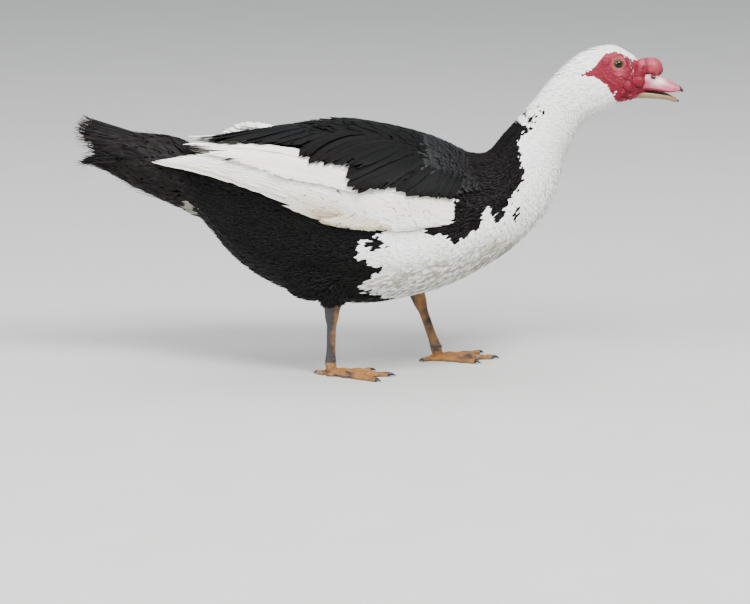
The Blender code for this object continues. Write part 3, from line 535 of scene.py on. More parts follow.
stations = np.linspace(0, len(STATIONS) - 1, 90)
depths = np.interp(stations, *zip(*COAT_DEPTH))
flesh = [tube_object("flesh", sunk_rings(on_body, stations, 96, depths))]
tail_at = np.linspace(*TAIL_ENDS, 24)
flesh.append(tube_object("flesh", sunk_rings(on_tail, tail_at, 60, np.full(24, TAIL_DEPTH))))
for name, side in SIDES.items():
    radii = [r - THIGH_DEPTH for r in THIGH_RADII]
    flesh.append(tube_object("flesh", tube_rings(thigh_line(name), radii, 32)))
    x, y, z = DRUMSTICK_PLACE
    centre = Vector(HOCKS[name]) + Vector((x, y * side, z))
    flesh.append(ellipsoid(centre, [r - DRUMSTICK_DEPTH for r in DRUMSTICK_RADII], DRUMSTICK_TURN))
skin = join(flesh, "skin")
apply_modifier(skin, "REMESH", mode="VOXEL", voxel_size=SKIN_VOXEL * MM)
apply_modifier(skin, "SMOOTH", factor=0.5, iterations=4)


def paint(obj, values, name="Plumage"):
    """Writes the colour attribute that a piece's material reads."""
    attribute = obj.data.color_attributes.new(name, "FLOAT_COLOR", "POINT")
    attribute.data.foreach_set("color", values.astype(np.float32).ravel())


def mark(obj, values, name):
    """Writes an attribute of one number at each point."""
    attribute = obj.data.attributes.new(name, "FLOAT", "POINT")
    attribute.data.foreach_set("value", values.astype(np.float32))


def points_of(obj):
    """An object's points, in millimetres."""
    points = np.empty(len(obj.data.vertices) * 3)
    obj.data.vertices.foreach_get("co", points)
    return points.reshape(-1, 3) / MM


def normals_of(obj):
    normals = np.empty(len(obj.data.vertices) * 3)
    obj.data.vertices.foreach_get("normal", normals)
    return normals.reshape(-1, 3)


def move_points(obj, points):
    obj.data.vertices.foreach_set("co", (points * MM).astype(np.float32).ravel())
    obj.data.update()


points = points_of(skin)
under_face = (points[:, 0] > HEAD[0] - FACE_BACK) & (points[:, 2] > HEAD[2] - FACE_BELOW)
sunk_in = FACE_DEPTH * blend(-3, 2, in_mask(points)) * under_face
move_points(skin, points - normals_of(skin) * sunk_in[:, None])

white, green = markings(points_of(skin))
half = np.full(len(white), 0.5)
paint(skin, np.stack([white, half, half * 0.6, green], -1))
skin.data.uv_layers.new(name="Vane")
skin.data.materials.append(body_feather)
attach(skin, "root")
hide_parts("torso", "neck_lower", "neck_upper", "head", "thigh_right", "thigh_left")


# Plumage. Each feather is a thin closed vane with a raised shaft, rooted in the skin. It runs
# back along the lie of the coat and rises over the next ones, as roof tiles do.
BAKE_PATCH = 0.003


def vane(rows, columns):
    """Shares along and across of a vane's points, its crown, and its faces."""
    along = 1 - (1 - np.arange(rows) / (rows - 1)) ** 1.35
    across = np.linspace(-1, 1, columns)
    u, v = np.repeat(along, columns), np.tile(across, rows)
    faces = []
    for r in range(rows - 1):
        a = r * columns
        faces += [[a + c, a + c + 1, a + c + 1 + columns, a + c + columns] for c in range(columns - 1)]
        faces.append([a + columns, a + 2 * columns - 1, a + columns - 1, a])
    faces += [list(reversed(range(columns))), [(rows - 1) * columns + c for c in range(columns)]]
    return u, v, faces


def straight(p, q):
    """The flow of feathers straight back along a surface."""
    return 0 * p


def flow_lines(surface, flow, p, q, length, steps=8, upstream=False):
    """Paths of feathers: places along each, from root to tip."""
    lines = [(p, q)]
    reach = length / steps * (-1 if upstream else 1)
    for _ in range(steps):
        along, across = slopes_of(surface, p, q)
        heading = flow(p, q)
        p = p - np.cos(heading) * reach / size_of(along)
        q = q + np.sin(heading) * reach / size_of(across)
        lines.append((p, q))
    if upstream:
        lines.reverse()
    return np.stack([line[0] for line in lines], 1), np.stack([line[1] for line in lines], 1)


def along_lines(lines, u):
    """Places at share u along flow lines, a row for each line."""
    steps = lines[0].shape[1] - 1
    place = np.clip(u, 0, 1) * steps
    i = np.minimum(place.astype(int), steps - 1)
    rest = place - i
    row = np.arange(len(i))[:, None]
    return [line[row, i] * (1 - rest) + line[row, i + 1] * rest for line in lines]


def plumage(name, surface, facing, lines, half, lifts, colours, unwrap, material, slot,
            rows=5, columns=3, outline=((0, 0.5), (0.3, 0.9), (0.62, 1), (0.86, 0.7), (1, 0.1)),
            thick=0.5, tilt=0.0, ragged=0.0, jagged=0.0, rise=1.8, soft=0.0, seed=1):
    """One piece of plumage, a vane along each flow line.

    half, lifts and colours have a value for each feather. Its height over the surface runs from
    the first lift to the second, and tilt lowers its upper edge. ragged shortens its barbs at
    the tip unevenly, and jagged notches its edges. soft turns its shading towards the
    surface's, as in down, where no single feather shows.
    """
    draw = np.random.default_rng(seed)
    count = len(lines[0])
    u, v, faces = vane(rows, columns)
    u = np.tile(u, (count, 1))
    column = np.tile(np.arange(columns), rows)
    u = u * (1 - ragged * draw.uniform(0, 1, (count, columns))[:, column] * u**3)
    p, q = along_lines(lines, u)
    p_to, q_to = along_lines(lines, u + 0.03)
    p_from, q_from = along_lines(lines, u - 0.03)
    along, across = slopes_of(surface, p, q)
    scale_p, scale_q = size_of(along), size_of(across)
    run, climb = (p_to - p_from) * scale_p, (q_to - q_from) * scale_q
    length = np.hypot(run, climb) + 1e-9
    width = np.interp(u, *zip(*outline)) * np.reshape(half, (-1, 1))
    notch = 1 - jagged * draw.uniform(0, 1, u.shape) ** 3 * np.abs(v)
    out = width * v * notch
    p, q = p + climb / length * out / scale_p, q - run / length * out / scale_q
    along, across = slopes_of(surface, p, q)
    normal = np.cross(along, across) * facing
    normal /= size_of(normal)[..., None] + 1e-9
    root, tip = (np.reshape(np.broadcast_to(lift, count), (-1, 1)) for lift in lifts)
    height = root + (tip - root) * (1 - (1 - u) ** rise)
    height = height + thick * (1 - np.abs(v)) - tilt * out
    points = surface(p, q) + normal * height[..., None]

    corners = np.concatenate([face if facing > 0 else face[::-1] for face in faces])
    sizes = np.tile([len(face) for face in faces], count)
    all_corners = (corners[None] + np.arange(count)[:, None] * len(v)).ravel()
    obj = mesh_object(name, points.reshape(-1, 3), all_corners, sizes)
    soft = np.reshape(np.broadcast_to(soft, count), (-1, 1, 1))
    if soft.max() > 0:
        shown = normals_of(obj).reshape(normal.shape) * (1 - soft) + normal * soft
        obj.data.normals_split_custom_set_from_vertices(shown.reshape(-1, 3).tolist())
    else:
        obj.data.set_sharp_from_angle(angle=math.radians(60))

    white, tone, green = (np.broadcast_to(np.reshape(c, (-1, 1)), u.shape) for c in colours)
    paint(obj, np.stack([white, tone, u, green], -1).reshape(-1, 4))
    spans = size_of(points[:, -1] - points[:, 0])[:, None]
    vane_uv = np.stack([u * spans, width * v], -1).reshape(-1, 2)
    root_uv = np.stack(unwrap(lines[0][:, 0], lines[1][:, 0]), -1)[:, None]
    bake_uv = root_uv + BAKE_PATCH * np.stack([u - 0.5, np.broadcast_to(v / 2, u.shape)], -1)
    for layer, values in (("Vane", vane_uv), ("OFBake", bake_uv.reshape(-1, 2))):
        uv = obj.data.uv_layers.new(name=layer)
        uv.data.foreach_set("uv", values[all_corners].astype(np.float32).ravel())
    obj.data.materials.append(material)
    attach(obj, "root")
    return obj


def tiled(surface, start, end, pitch, q_from=0.0, q_to=math.tau, seed=3, jitter=0.3):
    """Places for feathers in staggered rows across a surface, with how stretched it is there.

    pitch(p) gives the spacing along and round.
    """
    draw = np.random.default_rng(seed)
    fine_q = np.linspace(q_from, q_to, 181)
    found = []
    p, row = start, 0
    while p < end:
        step_along, step_round = pitch(p)
        along, across = slopes_of(surface, np.full(181, p), fine_q)
        reach, round_reach = size_of(along), size_of(across)
        steps = (round_reach[1:] + round_reach[:-1]) / 2 * np.diff(fine_q)
        length = np.concatenate([[0], np.cumsum(steps)])
        count = max(int(length[-1] / step_round), 1)
        at = (np.arange(count) + 0.25 + 0.5 * (row % 2) + draw.uniform(-jitter, jitter, count)) / count
        q = np.interp(at * length[-1], length, fine_q)
        stretch = np.interp(q, fine_q, reach) / reach.mean()
        step = step_along / reach.mean()
        found.append((p + draw.uniform(-jitter, jitter, count) * step, q, stretch))
        p += step
        row += 1
    return [np.concatenate(column) for column in zip(*found)]


def body_unwrap(p, q):
    return p / (len(STATIONS) - 1) * 0.98 + 0.01, np.mod(q / math.tau, 1) * 0.98 + 0.01


# Feathers of body, neck and head: keratin contour feathers, 28 mm long at the rear and down
# to 6 mm at the bill, rooted in the skin. They are left out where the folded wings hide them.
WING_LOWER = {-295: 281, -234: 266, -170: 246, -122: 229, -90: 217, -48: 206, 25: 206, 97: 213}
WING_UPPER = {-295: 288, -240: 296, -120: 296, 0: 286, 60: 272, 97: 255}
wing_lower = curves(list(WING_LOWER), list(WING_LOWER.values()))
wing_upper = curves(list(WING_UPPER), list(WING_UPPER.values()))
HIDDEN, WING_LAP = (-222, 84), 14  # where along x the wing hides the coat, and how far it laps it
REAR_END, BREAST_END, NECK_END = 2.6, 5.5, 8.2  # stations where the coat's parts meet
# along, round, length, half width, at a station
FEATHER_SIZES = [
    (0, 5.6, 3.3, 28, 3.1),
    (4.5, 5.2, 3.0, 26, 2.8),
    (5.6, 4.1, 2.6, 19, 2.3),
    (6.6, 3.1, 2.1, 14, 1.75),
    (8.0, 2.5, 1.8, 10.5, 1.45),
    (9.5, 2.0, 1.6, 8, 1.25),
    (12, 1.7, 1.4, 6, 1.1),
]
size_keys = [row[0] for row in FEATHER_SIZES]


def feather_size(p, column):
    return np.interp(p, size_keys, [row[column] for row in FEATHER_SIZES])


def body_flow(p, q):
    return 0.1 * waves(p, q, 4, 1.3, 1.1)


p, q, stretch = tiled(
    on_body, 0.02, 11.9, lambda p: (feather_size(p, 1), feather_size(p, 2)), seed=3, jitter=0.2
)
points = on_body(p, q)
x, z = points[:, 0], points[:, 2]
under_wing = (x > HIDDEN[0]) & (x < HIDDEN[1]) & (z > wing_lower(x)[:, 0] + WING_LAP)
draw = np.random.default_rng(8)
ragged_edge = 0.8 + 2.6 * blend(-16, -30, points[:, 2] - HEAD[2])
bare = (p > NECK_END) & (in_mask(points) > draw.normal(0.3, 1, len(p)) * ragged_edge)
shown = ~under_wing & ~bare
p, q, stretch = p[shown], q[shown], stretch[shown]
length = feather_size(p, 3) * np.sqrt(stretch) * draw.uniform(0.85, 1.15, len(p))
half = feather_size(p, 4) * np.sqrt(stretch) * draw.uniform(0.85, 1.1, len(p))
lines = flow_lines(on_body, body_flow, p, q, length, steps=3)
middle = on_body(lines[0][:, 2], lines[1][:, 2])
white, green = markings(middle + draw.normal(0, 1.5, middle.shape))
depth = np.interp(p, *zip(*COAT_DEPTH))
furrow = waves(p, q, 12, 9.0, 0.3) * np.interp(p, [0, 4, 6, 7], [0.5, 1.1, 1.0, 0.6])
furrow = furrow + 2.4 * draw.uniform(0, 1, len(p)) ** 4 * blend(6.8, 8.6, p) * blend(11, 10, p)
tone = draw.uniform(0, 1, len(p))
for name, low, high, near, slot in (
    ("coat_rear_right", -1, REAR_END, -1, "black_feather"),
    ("coat_rear_left", -1, REAR_END, 1, "black_feather"),
    ("coat_breast_right", REAR_END, BREAST_END, -1, "white_feather"),
    ("coat_breast_left", REAR_END, BREAST_END, 1, "white_feather"),
    ("coat_neck", BREAST_END, NECK_END, 0, "white_feather"),
    ("coat_head", NECK_END, len(STATIONS), 0, "white_feather"),
):
    part = (p > low) & (p <= high) & ((near == 0) | ((np.cos(q) > 0) == (near > 0)))
    plumage(
        name, on_body, -1, [line[part] for line in lines], half[part],
        (-depth[part] - 0.3, 0.2 + furrow[part]), (white[part], tone[part], green[part]),
        body_unwrap, body_feather, slot, rows=6 if low < 5 else 4, thick=0.3, ragged=0.3,
        outline=((0, 0.5), (0.3, 0.9), (0.6, 1), (0.82, 0.72), (1, 0.06)),
        soft=0.3 + 0.5 * white[part], rise=1.15,
    )

# Wings. White flight feathers of keratin lie in a stack, each edge over the next, under rows of
# coverts, all rooted in a bed of flesh. The front of the wing is plump with small feathers, and
# its lower edge is stained cream.
WRIST_LIFT, FLIGHT_LIFTS, FLIGHT_COUNT, FLIGHT_HALF = 3.8, (-6.0, 5.4), 14, 7.6
WING_BED, WING_DEPTH, WRIST_PLUMPNESS = (96, -78), 2.6, 2.2
BED_FLOOR = -24  # how far under the shell the flesh of wing and shoulder goes
COVERTS, COVERT_TURNS = (-66, 99), (-14, 64)
# The shell round the folded wings, by x: its half width, and the heights of its widest and top
SHELL = {
    -300: (46, 274, 303), -240: (58, 268, 301), -180: (75, 258, 309), -120: (89, 244, 317),
    -60: (97, 233, 320), 0: (98, 226, 314), 60: (91, 220, 300), 120: (78, 215, 272),
}
shell_curves = curves(list(SHELL), list(SHELL.values()))


def shell(side):
    """The surface round the body on one side, by x and by angle from level to the back."""

    def place(x, turn):
        wide, middle, top = np.moveaxis(shell_curves(x), -1, 0)
        over = np.where(turn > math.pi / 2, -1, 1)
        y = side * np.maximum(wide * np.cos(turn) * over, 0.2) * over
        return np.stack([x, y, middle + (top - middle) * np.sin(turn)], -1)

    return place


def turn_at(x, z):
    """The angle round the shell where it has that height."""
    _, middle, top = np.moveaxis(shell_curves(x), -1, 0)
    return np.arcsin(np.clip((z - middle) / (top - middle), -0.95, 0.999))


def wing_height(x, share):
    return wing_lower(x)[..., 0] + (wing_upper(x) - wing_lower(x))[..., 0] * share


def wing_level(x, share):
    """Height over the shell of the flight feathers, and of the plump front of the wing."""
    flight = FLIGHT_LIFTS[0] + (FLIGHT_LIFTS[1] - FLIGHT_LIFTS[0]) * share
    return flight + (WRIST_LIFT - flight) * blend(-40, 55, x)


def shell_outwards(side, x, turn):
    """The direction away from the shell at places on it."""
    wide, middle, top = np.moveaxis(shell_curves(x), -1, 0)
    out = np.stack([0 * x, side * (top - middle) * np.cos(turn), wide * np.sin(turn)], -1)
    return out / size_of(out)[..., None]


def wing_surface(side):
    """The surface that the coverts lie on."""

    def place(x, turn):
        base = shell(side)(x, turn)
        share = (base[..., 2] - wing_lower(x)[..., 0]) / (wing_upper(x) - wing_lower(x))[..., 0]
        level = wing_level(x, np.clip(share, -0.2, 1.3))
        return base + shell_outwards(side, x, turn) * level[..., None]

    return place


def shell_unwrap(x, turn):
    return (x + 400) / 560, turn / math.pi + 0.25


def slab_object(name, outer, inner):
    """A closed sheet between two grids of points."""
    tall, wide = outer.shape[:2]
    points = np.concatenate([outer.reshape(-1, 3), inner.reshape(-1, 3)])
    below, corners, sizes = tall * wide, [], []
    for i in range(tall - 1):
        for j in range(wide - 1):
            a = i * wide + j
            quad = [a, a + 1, a + wide + 1, a + wide]
            corners += quad + [k + below for k in reversed(quad)]
            sizes += [4, 4]
    rim = [i * wide for i in range(tall)] + [(tall - 1) * wide + j for j in range(1, wide)]
    rim += [i * wide + wide - 1 for i in reversed(range(tall - 1))] + list(reversed(range(1, wide - 1)))
    for a, b in zip(rim, rim[1:] + rim[:1]):
        corners += [b, a, a + below, b + below]
        sizes.append(4)
    obj = mesh_object(name, points, corners, sizes)
    outwards(obj)
    return obj


def feather_bed(name, side, start, end, steps, shape, colour, slot):
    """The flesh under a group of feathers, as one pad from x start to end.

    shape(x, b) gives its angle, how full it is, and its outer and inner heights over the
    shell, at share b across it.
    """
    rows = []
    for x in np.linspace(start, end, steps):
        a = (start - x) / (start - end)
        for b in np.linspace(0, 1, 14):
            turn, full, outer, inner = shape(x, b)
            full *= (1 - (2 * a - 1) ** 6) ** 0.5
            half, middle = max((outer - inner) / 2 * full, 1.0), (outer + inner) / 2
            rows.append((x, turn, middle + half, middle - half))
    x, turn, outer, inner = np.moveaxis(np.reshape(rows, (steps, 14, 4)), -1, 0)
    base, out = shell(side)(x, turn), shell_outwards(side, x, turn)
    obj = slab_object(name, base + out * outer[..., None], base + out * inner[..., None])
    paint(obj, np.tile(colour, (len(obj.data.vertices), 1)))
    obj.data.uv_layers.new(name="Vane")
    obj.data.materials.append(body_feather)
    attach(obj, "root")
    return obj


def wing_shape(x, b):
    """The folded wing's flesh."""
    low, high = turn_at(x, wing_lower(x)[0]), turn_at(x, wing_upper(x)[0])
    outer = float(wing_level(x, b)) - WING_DEPTH + WRIST_PLUMPNESS * float(blend(-10, 60, x))
    return low + (high - low) * b, (1 - (2 * b - 1) ** 6) ** 0.5, outer, BED_FLOOR


def flight_lines():
    """Paths of the flight feathers, from the wing's lower edge up."""
    number = np.arange(FLIGHT_COUNT)[:, None]
    last = FLIGHT_COUNT - 1
    share = number / last
    t = np.linspace(0, 1, 13)[None]
    root_x = -40 + 10 * share
    tip_x = -297 + 58 * share + 90 * share**2
    tip_x[-1] = -259
    tip_up = 0.33 + 0.6 * np.clip(number / (last - 1), 0, 1) ** 0.35
    tip_up[-1] = 1.08
    x = root_x + (tip_x - root_x) * t
    up = 0.09 + 0.77 * share
    return x, turn_at(x, wing_height(x, up + (tip_up - up) * t**1.3)), share[:, 0]


def shell_place(pixels, side="right"):
    """Where on the shell places of the picture lie: x and angle."""
    x, turn = np.meshgrid(np.linspace(-310, 130, 300), np.radians(np.linspace(-14, 89.5, 200)))
    u, v = seen_at(shell(-1)(x, turn))
    nearest = [np.argmin(np.hypot(u - a, v - b)) for a, b in pixels]
    return x.ravel()[nearest], turn.ravel()[nearest]


def fan_lines(controls, count, spread, seed, steps=13):
    """Paths of a group of feathers, fanned evenly through control feathers.

    Each control has its root, a middle place and its tip, in pixels of the picture.
    """
    dice = np.random.default_rng(seed)
    flat = [place for feather in controls for place in feather]
    x, turn = shell_place(flat)
    table = np.stack([x, turn * 100], -1).reshape(len(controls), 6)
    keys = (np.arange(count) + 0.5) / count * (len(controls) - 1)
    found = curves(range(len(controls)), table)(keys).reshape(count, 3, 2)
    found = found + dice.normal(0, spread, found.shape)
    t = np.linspace(0, 1, steps)[None, :, None]
    root, middle, tip = (found[:, i : i + 1] for i in range(3))
    bend = 2 * middle - (root + tip) / 2
    path = root * (1 - t) ** 2 + 2 * bend * t * (1 - t) + tip * t**2
    return path[..., 0], path[..., 1] / 100


def smaller_ahead(pitch, less):
    """Spacing of feathers along and round, which shrinks towards the wing's front."""
    return lambda x: tuple(wide - drop * float(blend(0, 90, x)) for wide, drop in zip(pitch, less))


def covert_flow(x, turn):
    return 0.07 * waves(x / 100, turn, 6, 0.5, 0.3)


LONG_OUTLINE = ((0, 0.5), (0.1, 0.75), (0.45, 1), (0.8, 0.9), (0.93, 0.6), (1, 0.08))
SOFT_OUTLINE = ((0, 0.6), (0.3, 0.95), (0.7, 1), (0.88, 0.75), (1, 0.12))
BROAD_OUTLINE = ((0, 0.5), (0.25, 0.9), (0.6, 1), (0.85, 0.88), (0.95, 0.62), (1, 0.25))
# Inner flight feathers, soft and ragged, from the uppermost down, and the stained feathers
# that hang at the wing's lower edge
TERTIALS = [
    [(350, 171), (297, 155), (238, 149)], [(352, 175), (268, 155), (181, 149)],
    [(354, 180), (276, 160), (188, 155)], [(356, 184), (285, 164), (205, 160)],
    [(358, 188), (293, 170), (238, 165)], [(360, 192), (310, 180), (268, 173)],
]
HANGING = [
    [(352, 214), (335, 222), (314, 224)], [(372, 218), (355, 226), (336, 229)],
    [(392, 219), (376, 227), (358, 230)], [(412, 219), (398, 226), (384, 227)],
]
for name, side in SIDES.items():
    facing = -side
    core = feather_bed(
        "wing_core_" + name, side, *WING_BED, 30, wing_shape, [1, 0.4, 0.3, 1], "white_feather"
    )
    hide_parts("wing_" + name)
    x, turn, share = flight_lines()
    level = FLIGHT_LIFTS[0] + (FLIGHT_LIFTS[1] - FLIGHT_LIFTS[0]) * share
    ones = np.ones(FLIGHT_COUNT)
    stain = draw.uniform(0.7, 1, FLIGHT_COUNT) - 0.25 * (share < 0.2)
    half = FLIGHT_HALF * draw.uniform(0.85, 1.15, FLIGHT_COUNT)
    plumage(
        "flight_feathers_" + name, shell(side), facing, (x, turn), half, (level - 3, level),
        (ones, draw.uniform(0, 1, FLIGHT_COUNT), stain), shell_unwrap, vane_feather, "white_feather",
        rows=34, columns=7, outline=LONG_OUTLINE, thick=0.8, ragged=0.05, jagged=0.3, rise=12,
        tilt=0.2, seed=20,
    )
    for label, controls, count, half, lifts, clean in (
        ("tertials", TERTIALS, 12, 7.5, (4.3, 6.8), 0.9),
        ("wing_edge", HANGING, 16, 4.5, (-2.0, 1.2), 0.1),
    ):
        lines = fan_lines(controls, count, 1.3, 21)
        ones = np.ones(count)
        plumage(
            f"{label}_{name}", shell(side), facing, lines, half * draw.uniform(0.8, 1.1, count),
            (lifts[0], lifts[1] + draw.uniform(-0.4, 0.4, count)),
            (ones, draw.uniform(0, 1, count), clean * draw.uniform(0.6, 1, count)), shell_unwrap,
            vane_feather, "white_feather", rows=20, columns=9, outline=SOFT_OUTLINE, tilt=0.1,
            thick=0.9, ragged=0.28, jagged=0.45, rise=1.6, soft=0.1, seed=22,
        )
    surface = wing_surface(side)
    x, turn, _ = tiled(
        surface, *COVERTS, smaller_ahead((8, 5.2), (3.5, 1.8)), *np.radians(COVERT_TURNS),
        seed=40, jitter=0.35,
    )
    height = shell(side)(x, turn)[:, 2]
    on_wing = (height > wing_lower(x)[:, 0] - 2) & (height < wing_upper(x)[:, 0] + 2)
    x, turn = x[on_wing], turn[on_wing]
    length = (58 - 26 * blend(-10, 90, x)) * draw.uniform(0.9, 1.15, len(x))
    half = (5.2 - 2.2 * blend(-10, 90, x)) * draw.uniform(0.9, 1.15, len(x))
    lines = flow_lines(surface, covert_flow, x, turn, length, steps=5)
    u, v = seen_at(surface(lines[0][:, 2], lines[1][:, 2]))
    plumage(
        "coverts_" + name, surface, facing, lines, half, (-1.3, 1.5 + 0.8 * blend(0, 90, x)),
        (1 + 0 * x, draw.uniform(0, 1, len(x)), 1 - stain_at(u, v)), shell_unwrap,
        body_feather, "white_feather", rows=8, columns=5, outline=SOFT_OUTLINE, thick=0.35,
        ragged=0.25, jagged=0.15, rise=1.05, soft=0.85, seed=41,
    )

# Shoulder feathers. Long black scapulars, glossy keratin rooted in the shoulder's flesh, stream
# back and droop over the white wing in steps, small and scaly in front, stranded behind.
SHOULDER_BED, SHOULDER_DEPTH, SHOULDER_FLOOR_RISE = (132, -175), 1.5, 14
SHORT_SCAPULARS, SHORT_TURNS = (-232, 128), (12, 89)
WING_FRONT, FRONT_TURNS, FRONT_PITCH = (88, 130), (-25, 60), (4.2, 3.4)
FAR_DROP = 5.5  # how much lower the far side's rear lies, so that the ruffled feathers show
# The angle round the shell, in degrees by x, below which no shoulder feather's tip reaches
TIP_EDGE = {
    -232: 69, -200: 52, -110: 49, -108: 37, -84: 30, -50: 30, -48: 18, -30: 14, 30: 15, 84: 17, 120: 30
}


def lowest_tip(x):
    return np.radians(np.interp(x, list(TIP_EDGE), list(TIP_EDGE.values())))


def shoulder_level(x):
    return -1.5 + 3.5 * blend(-175, -60, x) + 4.5 * blend(-60, 25, x)


def shoulder_shape(x, b):
    """The flesh of the shoulder, from the wing's upper edge to the ridge of the back."""
    low, high = turn_at(x, wing_upper(x)[0]) + 0.02, math.radians(89.9)
    inner = BED_FLOOR + SHOULDER_FLOOR_RISE * float(blend(-60, -150, x))
    outer = float(shoulder_level(x)) - SHOULDER_DEPTH
    return low + (high - low) * b, (1 - (1 - b) ** 6) ** 0.5, outer, inner


def on_ridge(turn):
    """1 on the ridge of the back, and 0 down the side."""
    return blend(math.radians(55), math.radians(78), turn)


def shoulder_flow(x, turn):
    """Shoulder feathers run back along the ridge and bend down towards the wing."""
    drop = blend(math.radians(80), math.radians(22), turn)
    ease = (0.25 + 0.75 * blend(-190, -70, x)) * (1 - 0.4 * blend(40, 110, x))
    return -math.radians(45) * drop * ease + 0.12 * waves(x / 100, turn, 9, 0.6, 0.35)


# Long feathers of one side, in groups from the rear of the back to the wing's front: root,
# middle and tip of some of each group, how many, half width and how high their tips stand
LONG_GROUPS = {
    "rear": (
        [
            [(298, 119), (258, 127), (212, 138)], [(310, 121), (260, 131), (206, 142)],
            [(320, 124), (272, 135), (224, 147)], [(330, 126), (290, 137), (248, 149)],
            [(340, 128), (306, 138), (270, 149)], [(350, 131), (320, 140), (297, 150)],
        ],
        12, 7.4, 8.4,
    ),
    "drooping": (
        [
            [(386, 138), (331, 139), (295, 160)], [(389, 141), (340, 143), (306, 166)],
            [(393, 144), (349, 148), (318, 169)], [(397, 147), (358, 153), (329, 170)],
            [(400, 149), (369, 157), (341, 170)], [(404, 152), (377, 162), (350, 171)],
        ],
        10, 7.0, 10.4,
    ),
    "middle": (
        [
            [(413, 152), (377, 163), (344, 178)], [(415, 157), (380, 169), (346, 184)],
            [(418, 161), (385, 174), (352, 192)], [(420, 163), (390, 176), (365, 191)],
            [(424, 166), (398, 178), (382, 189)],
        ],
        8, 7.5, 9.8,
    ),
    "front": (
        [
            [(428, 169), (409, 180), (391, 192)], [(436, 173), (421, 184), (406, 196)],
            [(444, 176), (432, 187), (421, 198)], [(452, 178), (443, 189), (436, 201)],
            [(460, 180), (454, 192), (449, 201)],
        ],
        11, 6.0, 9.6,
    ),
}
for name, side in SIDES.items():
    facing = -side
    core = feather_bed(
        "shoulder_core_" + name, side, *SHOULDER_BED, 44, shoulder_shape, [0, 0.6, 0.3, 1], "black_feather"
    )
    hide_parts("scapulars_" + name)
    x, turn, _ = tiled(
        shell(side), *SHORT_SCAPULARS, smaller_ahead((10, 8), (5.5, 4.2)), *np.radians(SHORT_TURNS),
        seed=50, jitter=0.4,
    )
    shown = (turn > lowest_tip(x) + math.radians(3)) & (x > -150 - 40 * blend(60, 30, np.degrees(turn)))
    x, turn = x[shown], turn[shown]
    length = (15 + 55 * blend(90, -30, x)) * draw.uniform(0.85, 1.15, len(x))
    half = (3.0 + 4.6 * blend(90, -10, x)) * draw.uniform(0.85, 1.15, len(x))
    lines = flow_lines(shell(side), shoulder_flow, x, turn, length, steps=8, upstream=True)
    green = 1 - 0.8 * blend(40, 110, x)
    on_top = on_ridge(turn)
    far_drop = FAR_DROP * (side > 0)
    height = 8.4 - (1.4 + 3.0 * on_top) * blend(-50, -150, x) - far_drop * blend(-105, -165, x)
    height += 2.6 * on_top * np.exp(-(((x + 60) / 60) ** 2))
    sunk = np.minimum(shoulder_level(lines[0][:, 0]) - 3, 4)
    long = length > 32
    for part, label, rows, columns, stuff, rise in (
        (long, "long", 12, 5, vane_feather, 1.2),
        (~long, "short", 7, 3, shoulder_feather, 1.0),
    ):
        plumage(
            f"scapulars_{label}_{name}", shell(side), facing, [line[part] for line in lines],
            half[part], (sunk[part], height[part]),
            (0 * x[part], draw.uniform(0, 1, part.sum()), green[part]), shell_unwrap,
            stuff, "black_feather", rows=rows, columns=columns, thick=0.5, tilt=0.05,
            outline=SOFT_OUTLINE, ragged=0.2, jagged=0.25, rise=rise, seed=51,
        )
    for label, (controls, count, half, tip_height) in LONG_GROUPS.items():
        lines = fan_lines(controls, count, 1.4, 52)
        root_height = np.minimum(shoulder_level(lines[0][:, 0]) + 2.5, 7.5)
        on_top = on_ridge(lines[1][:, -1])
        uneven = draw.uniform(0.6, 1.6, count) * (1.5 if label == "rear" else 1.0)
        plumage(
            f"scapulars_{label}_{name}", shell(side), facing, lines,
            half * draw.uniform(0.8, 1.15, count),
            (root_height, tip_height - 4.4 * on_top + uneven * (np.arange(count) % 2 - 0.5)
             - far_drop * blend(-105, -165, lines[0][:, -1])),
            (np.zeros(count), draw.uniform(0, 1, count), draw.uniform(0.6, 1, count)), shell_unwrap,
            vane_feather, "black_feather", rows=18, columns=11, thick=1.2, tilt=0.2,
            outline=BROAD_OUTLINE, ragged=0.14 if label == "rear" else 0.26, jagged=0.25,
            rise=1.0, seed=53,
        )
    # Black feathers of the breast's side lap over the front of the wing
    x, turn, _ = tiled(
        shell(side), *WING_FRONT, lambda x: FRONT_PITCH, *np.radians(FRONT_TURNS), seed=54
    )
    lines = flow_lines(shell(side), straight, x, turn, draw.uniform(15, 20, len(x)), steps=4, upstream=True)
    white, tint = markings(shell(side)(x, turn))
    shown = white == 0
    plumage(
        "wing_front_" + name, shell(side), facing, [line[shown] for line in lines],
        draw.uniform(2.6, 3.4, shown.sum()), (-3, 5.0 - 3.4 * blend(96, 128, x[shown])),
        (white[shown], draw.uniform(0, 1, shown.sum()), tint[shown]), shell_unwrap,
        body_feather, "black_feather", rows=6, thick=0.35, ragged=0.3, rise=1.2, soft=0.2, seed=55,
    )

# White feathers of the far wing: soft keratin vanes that wind has ruffled up over the back's
# outline, in four bunches rooted under the scapulars. They are tilted, so that they show broad.
RUFFLED_IN_BUNCH, RUFFLED_HEADING = 9, 0.2
# x, angle, length and lift of each bunch
RUFFLES = [(-200, 68, 52, 10), (-186, 74, 48, 14), (-176, 70, 34, 12), (-240, 56, 34, 6)]


def ruffled_flow(x, turn):
    return 0 * x + RUFFLED_HEADING


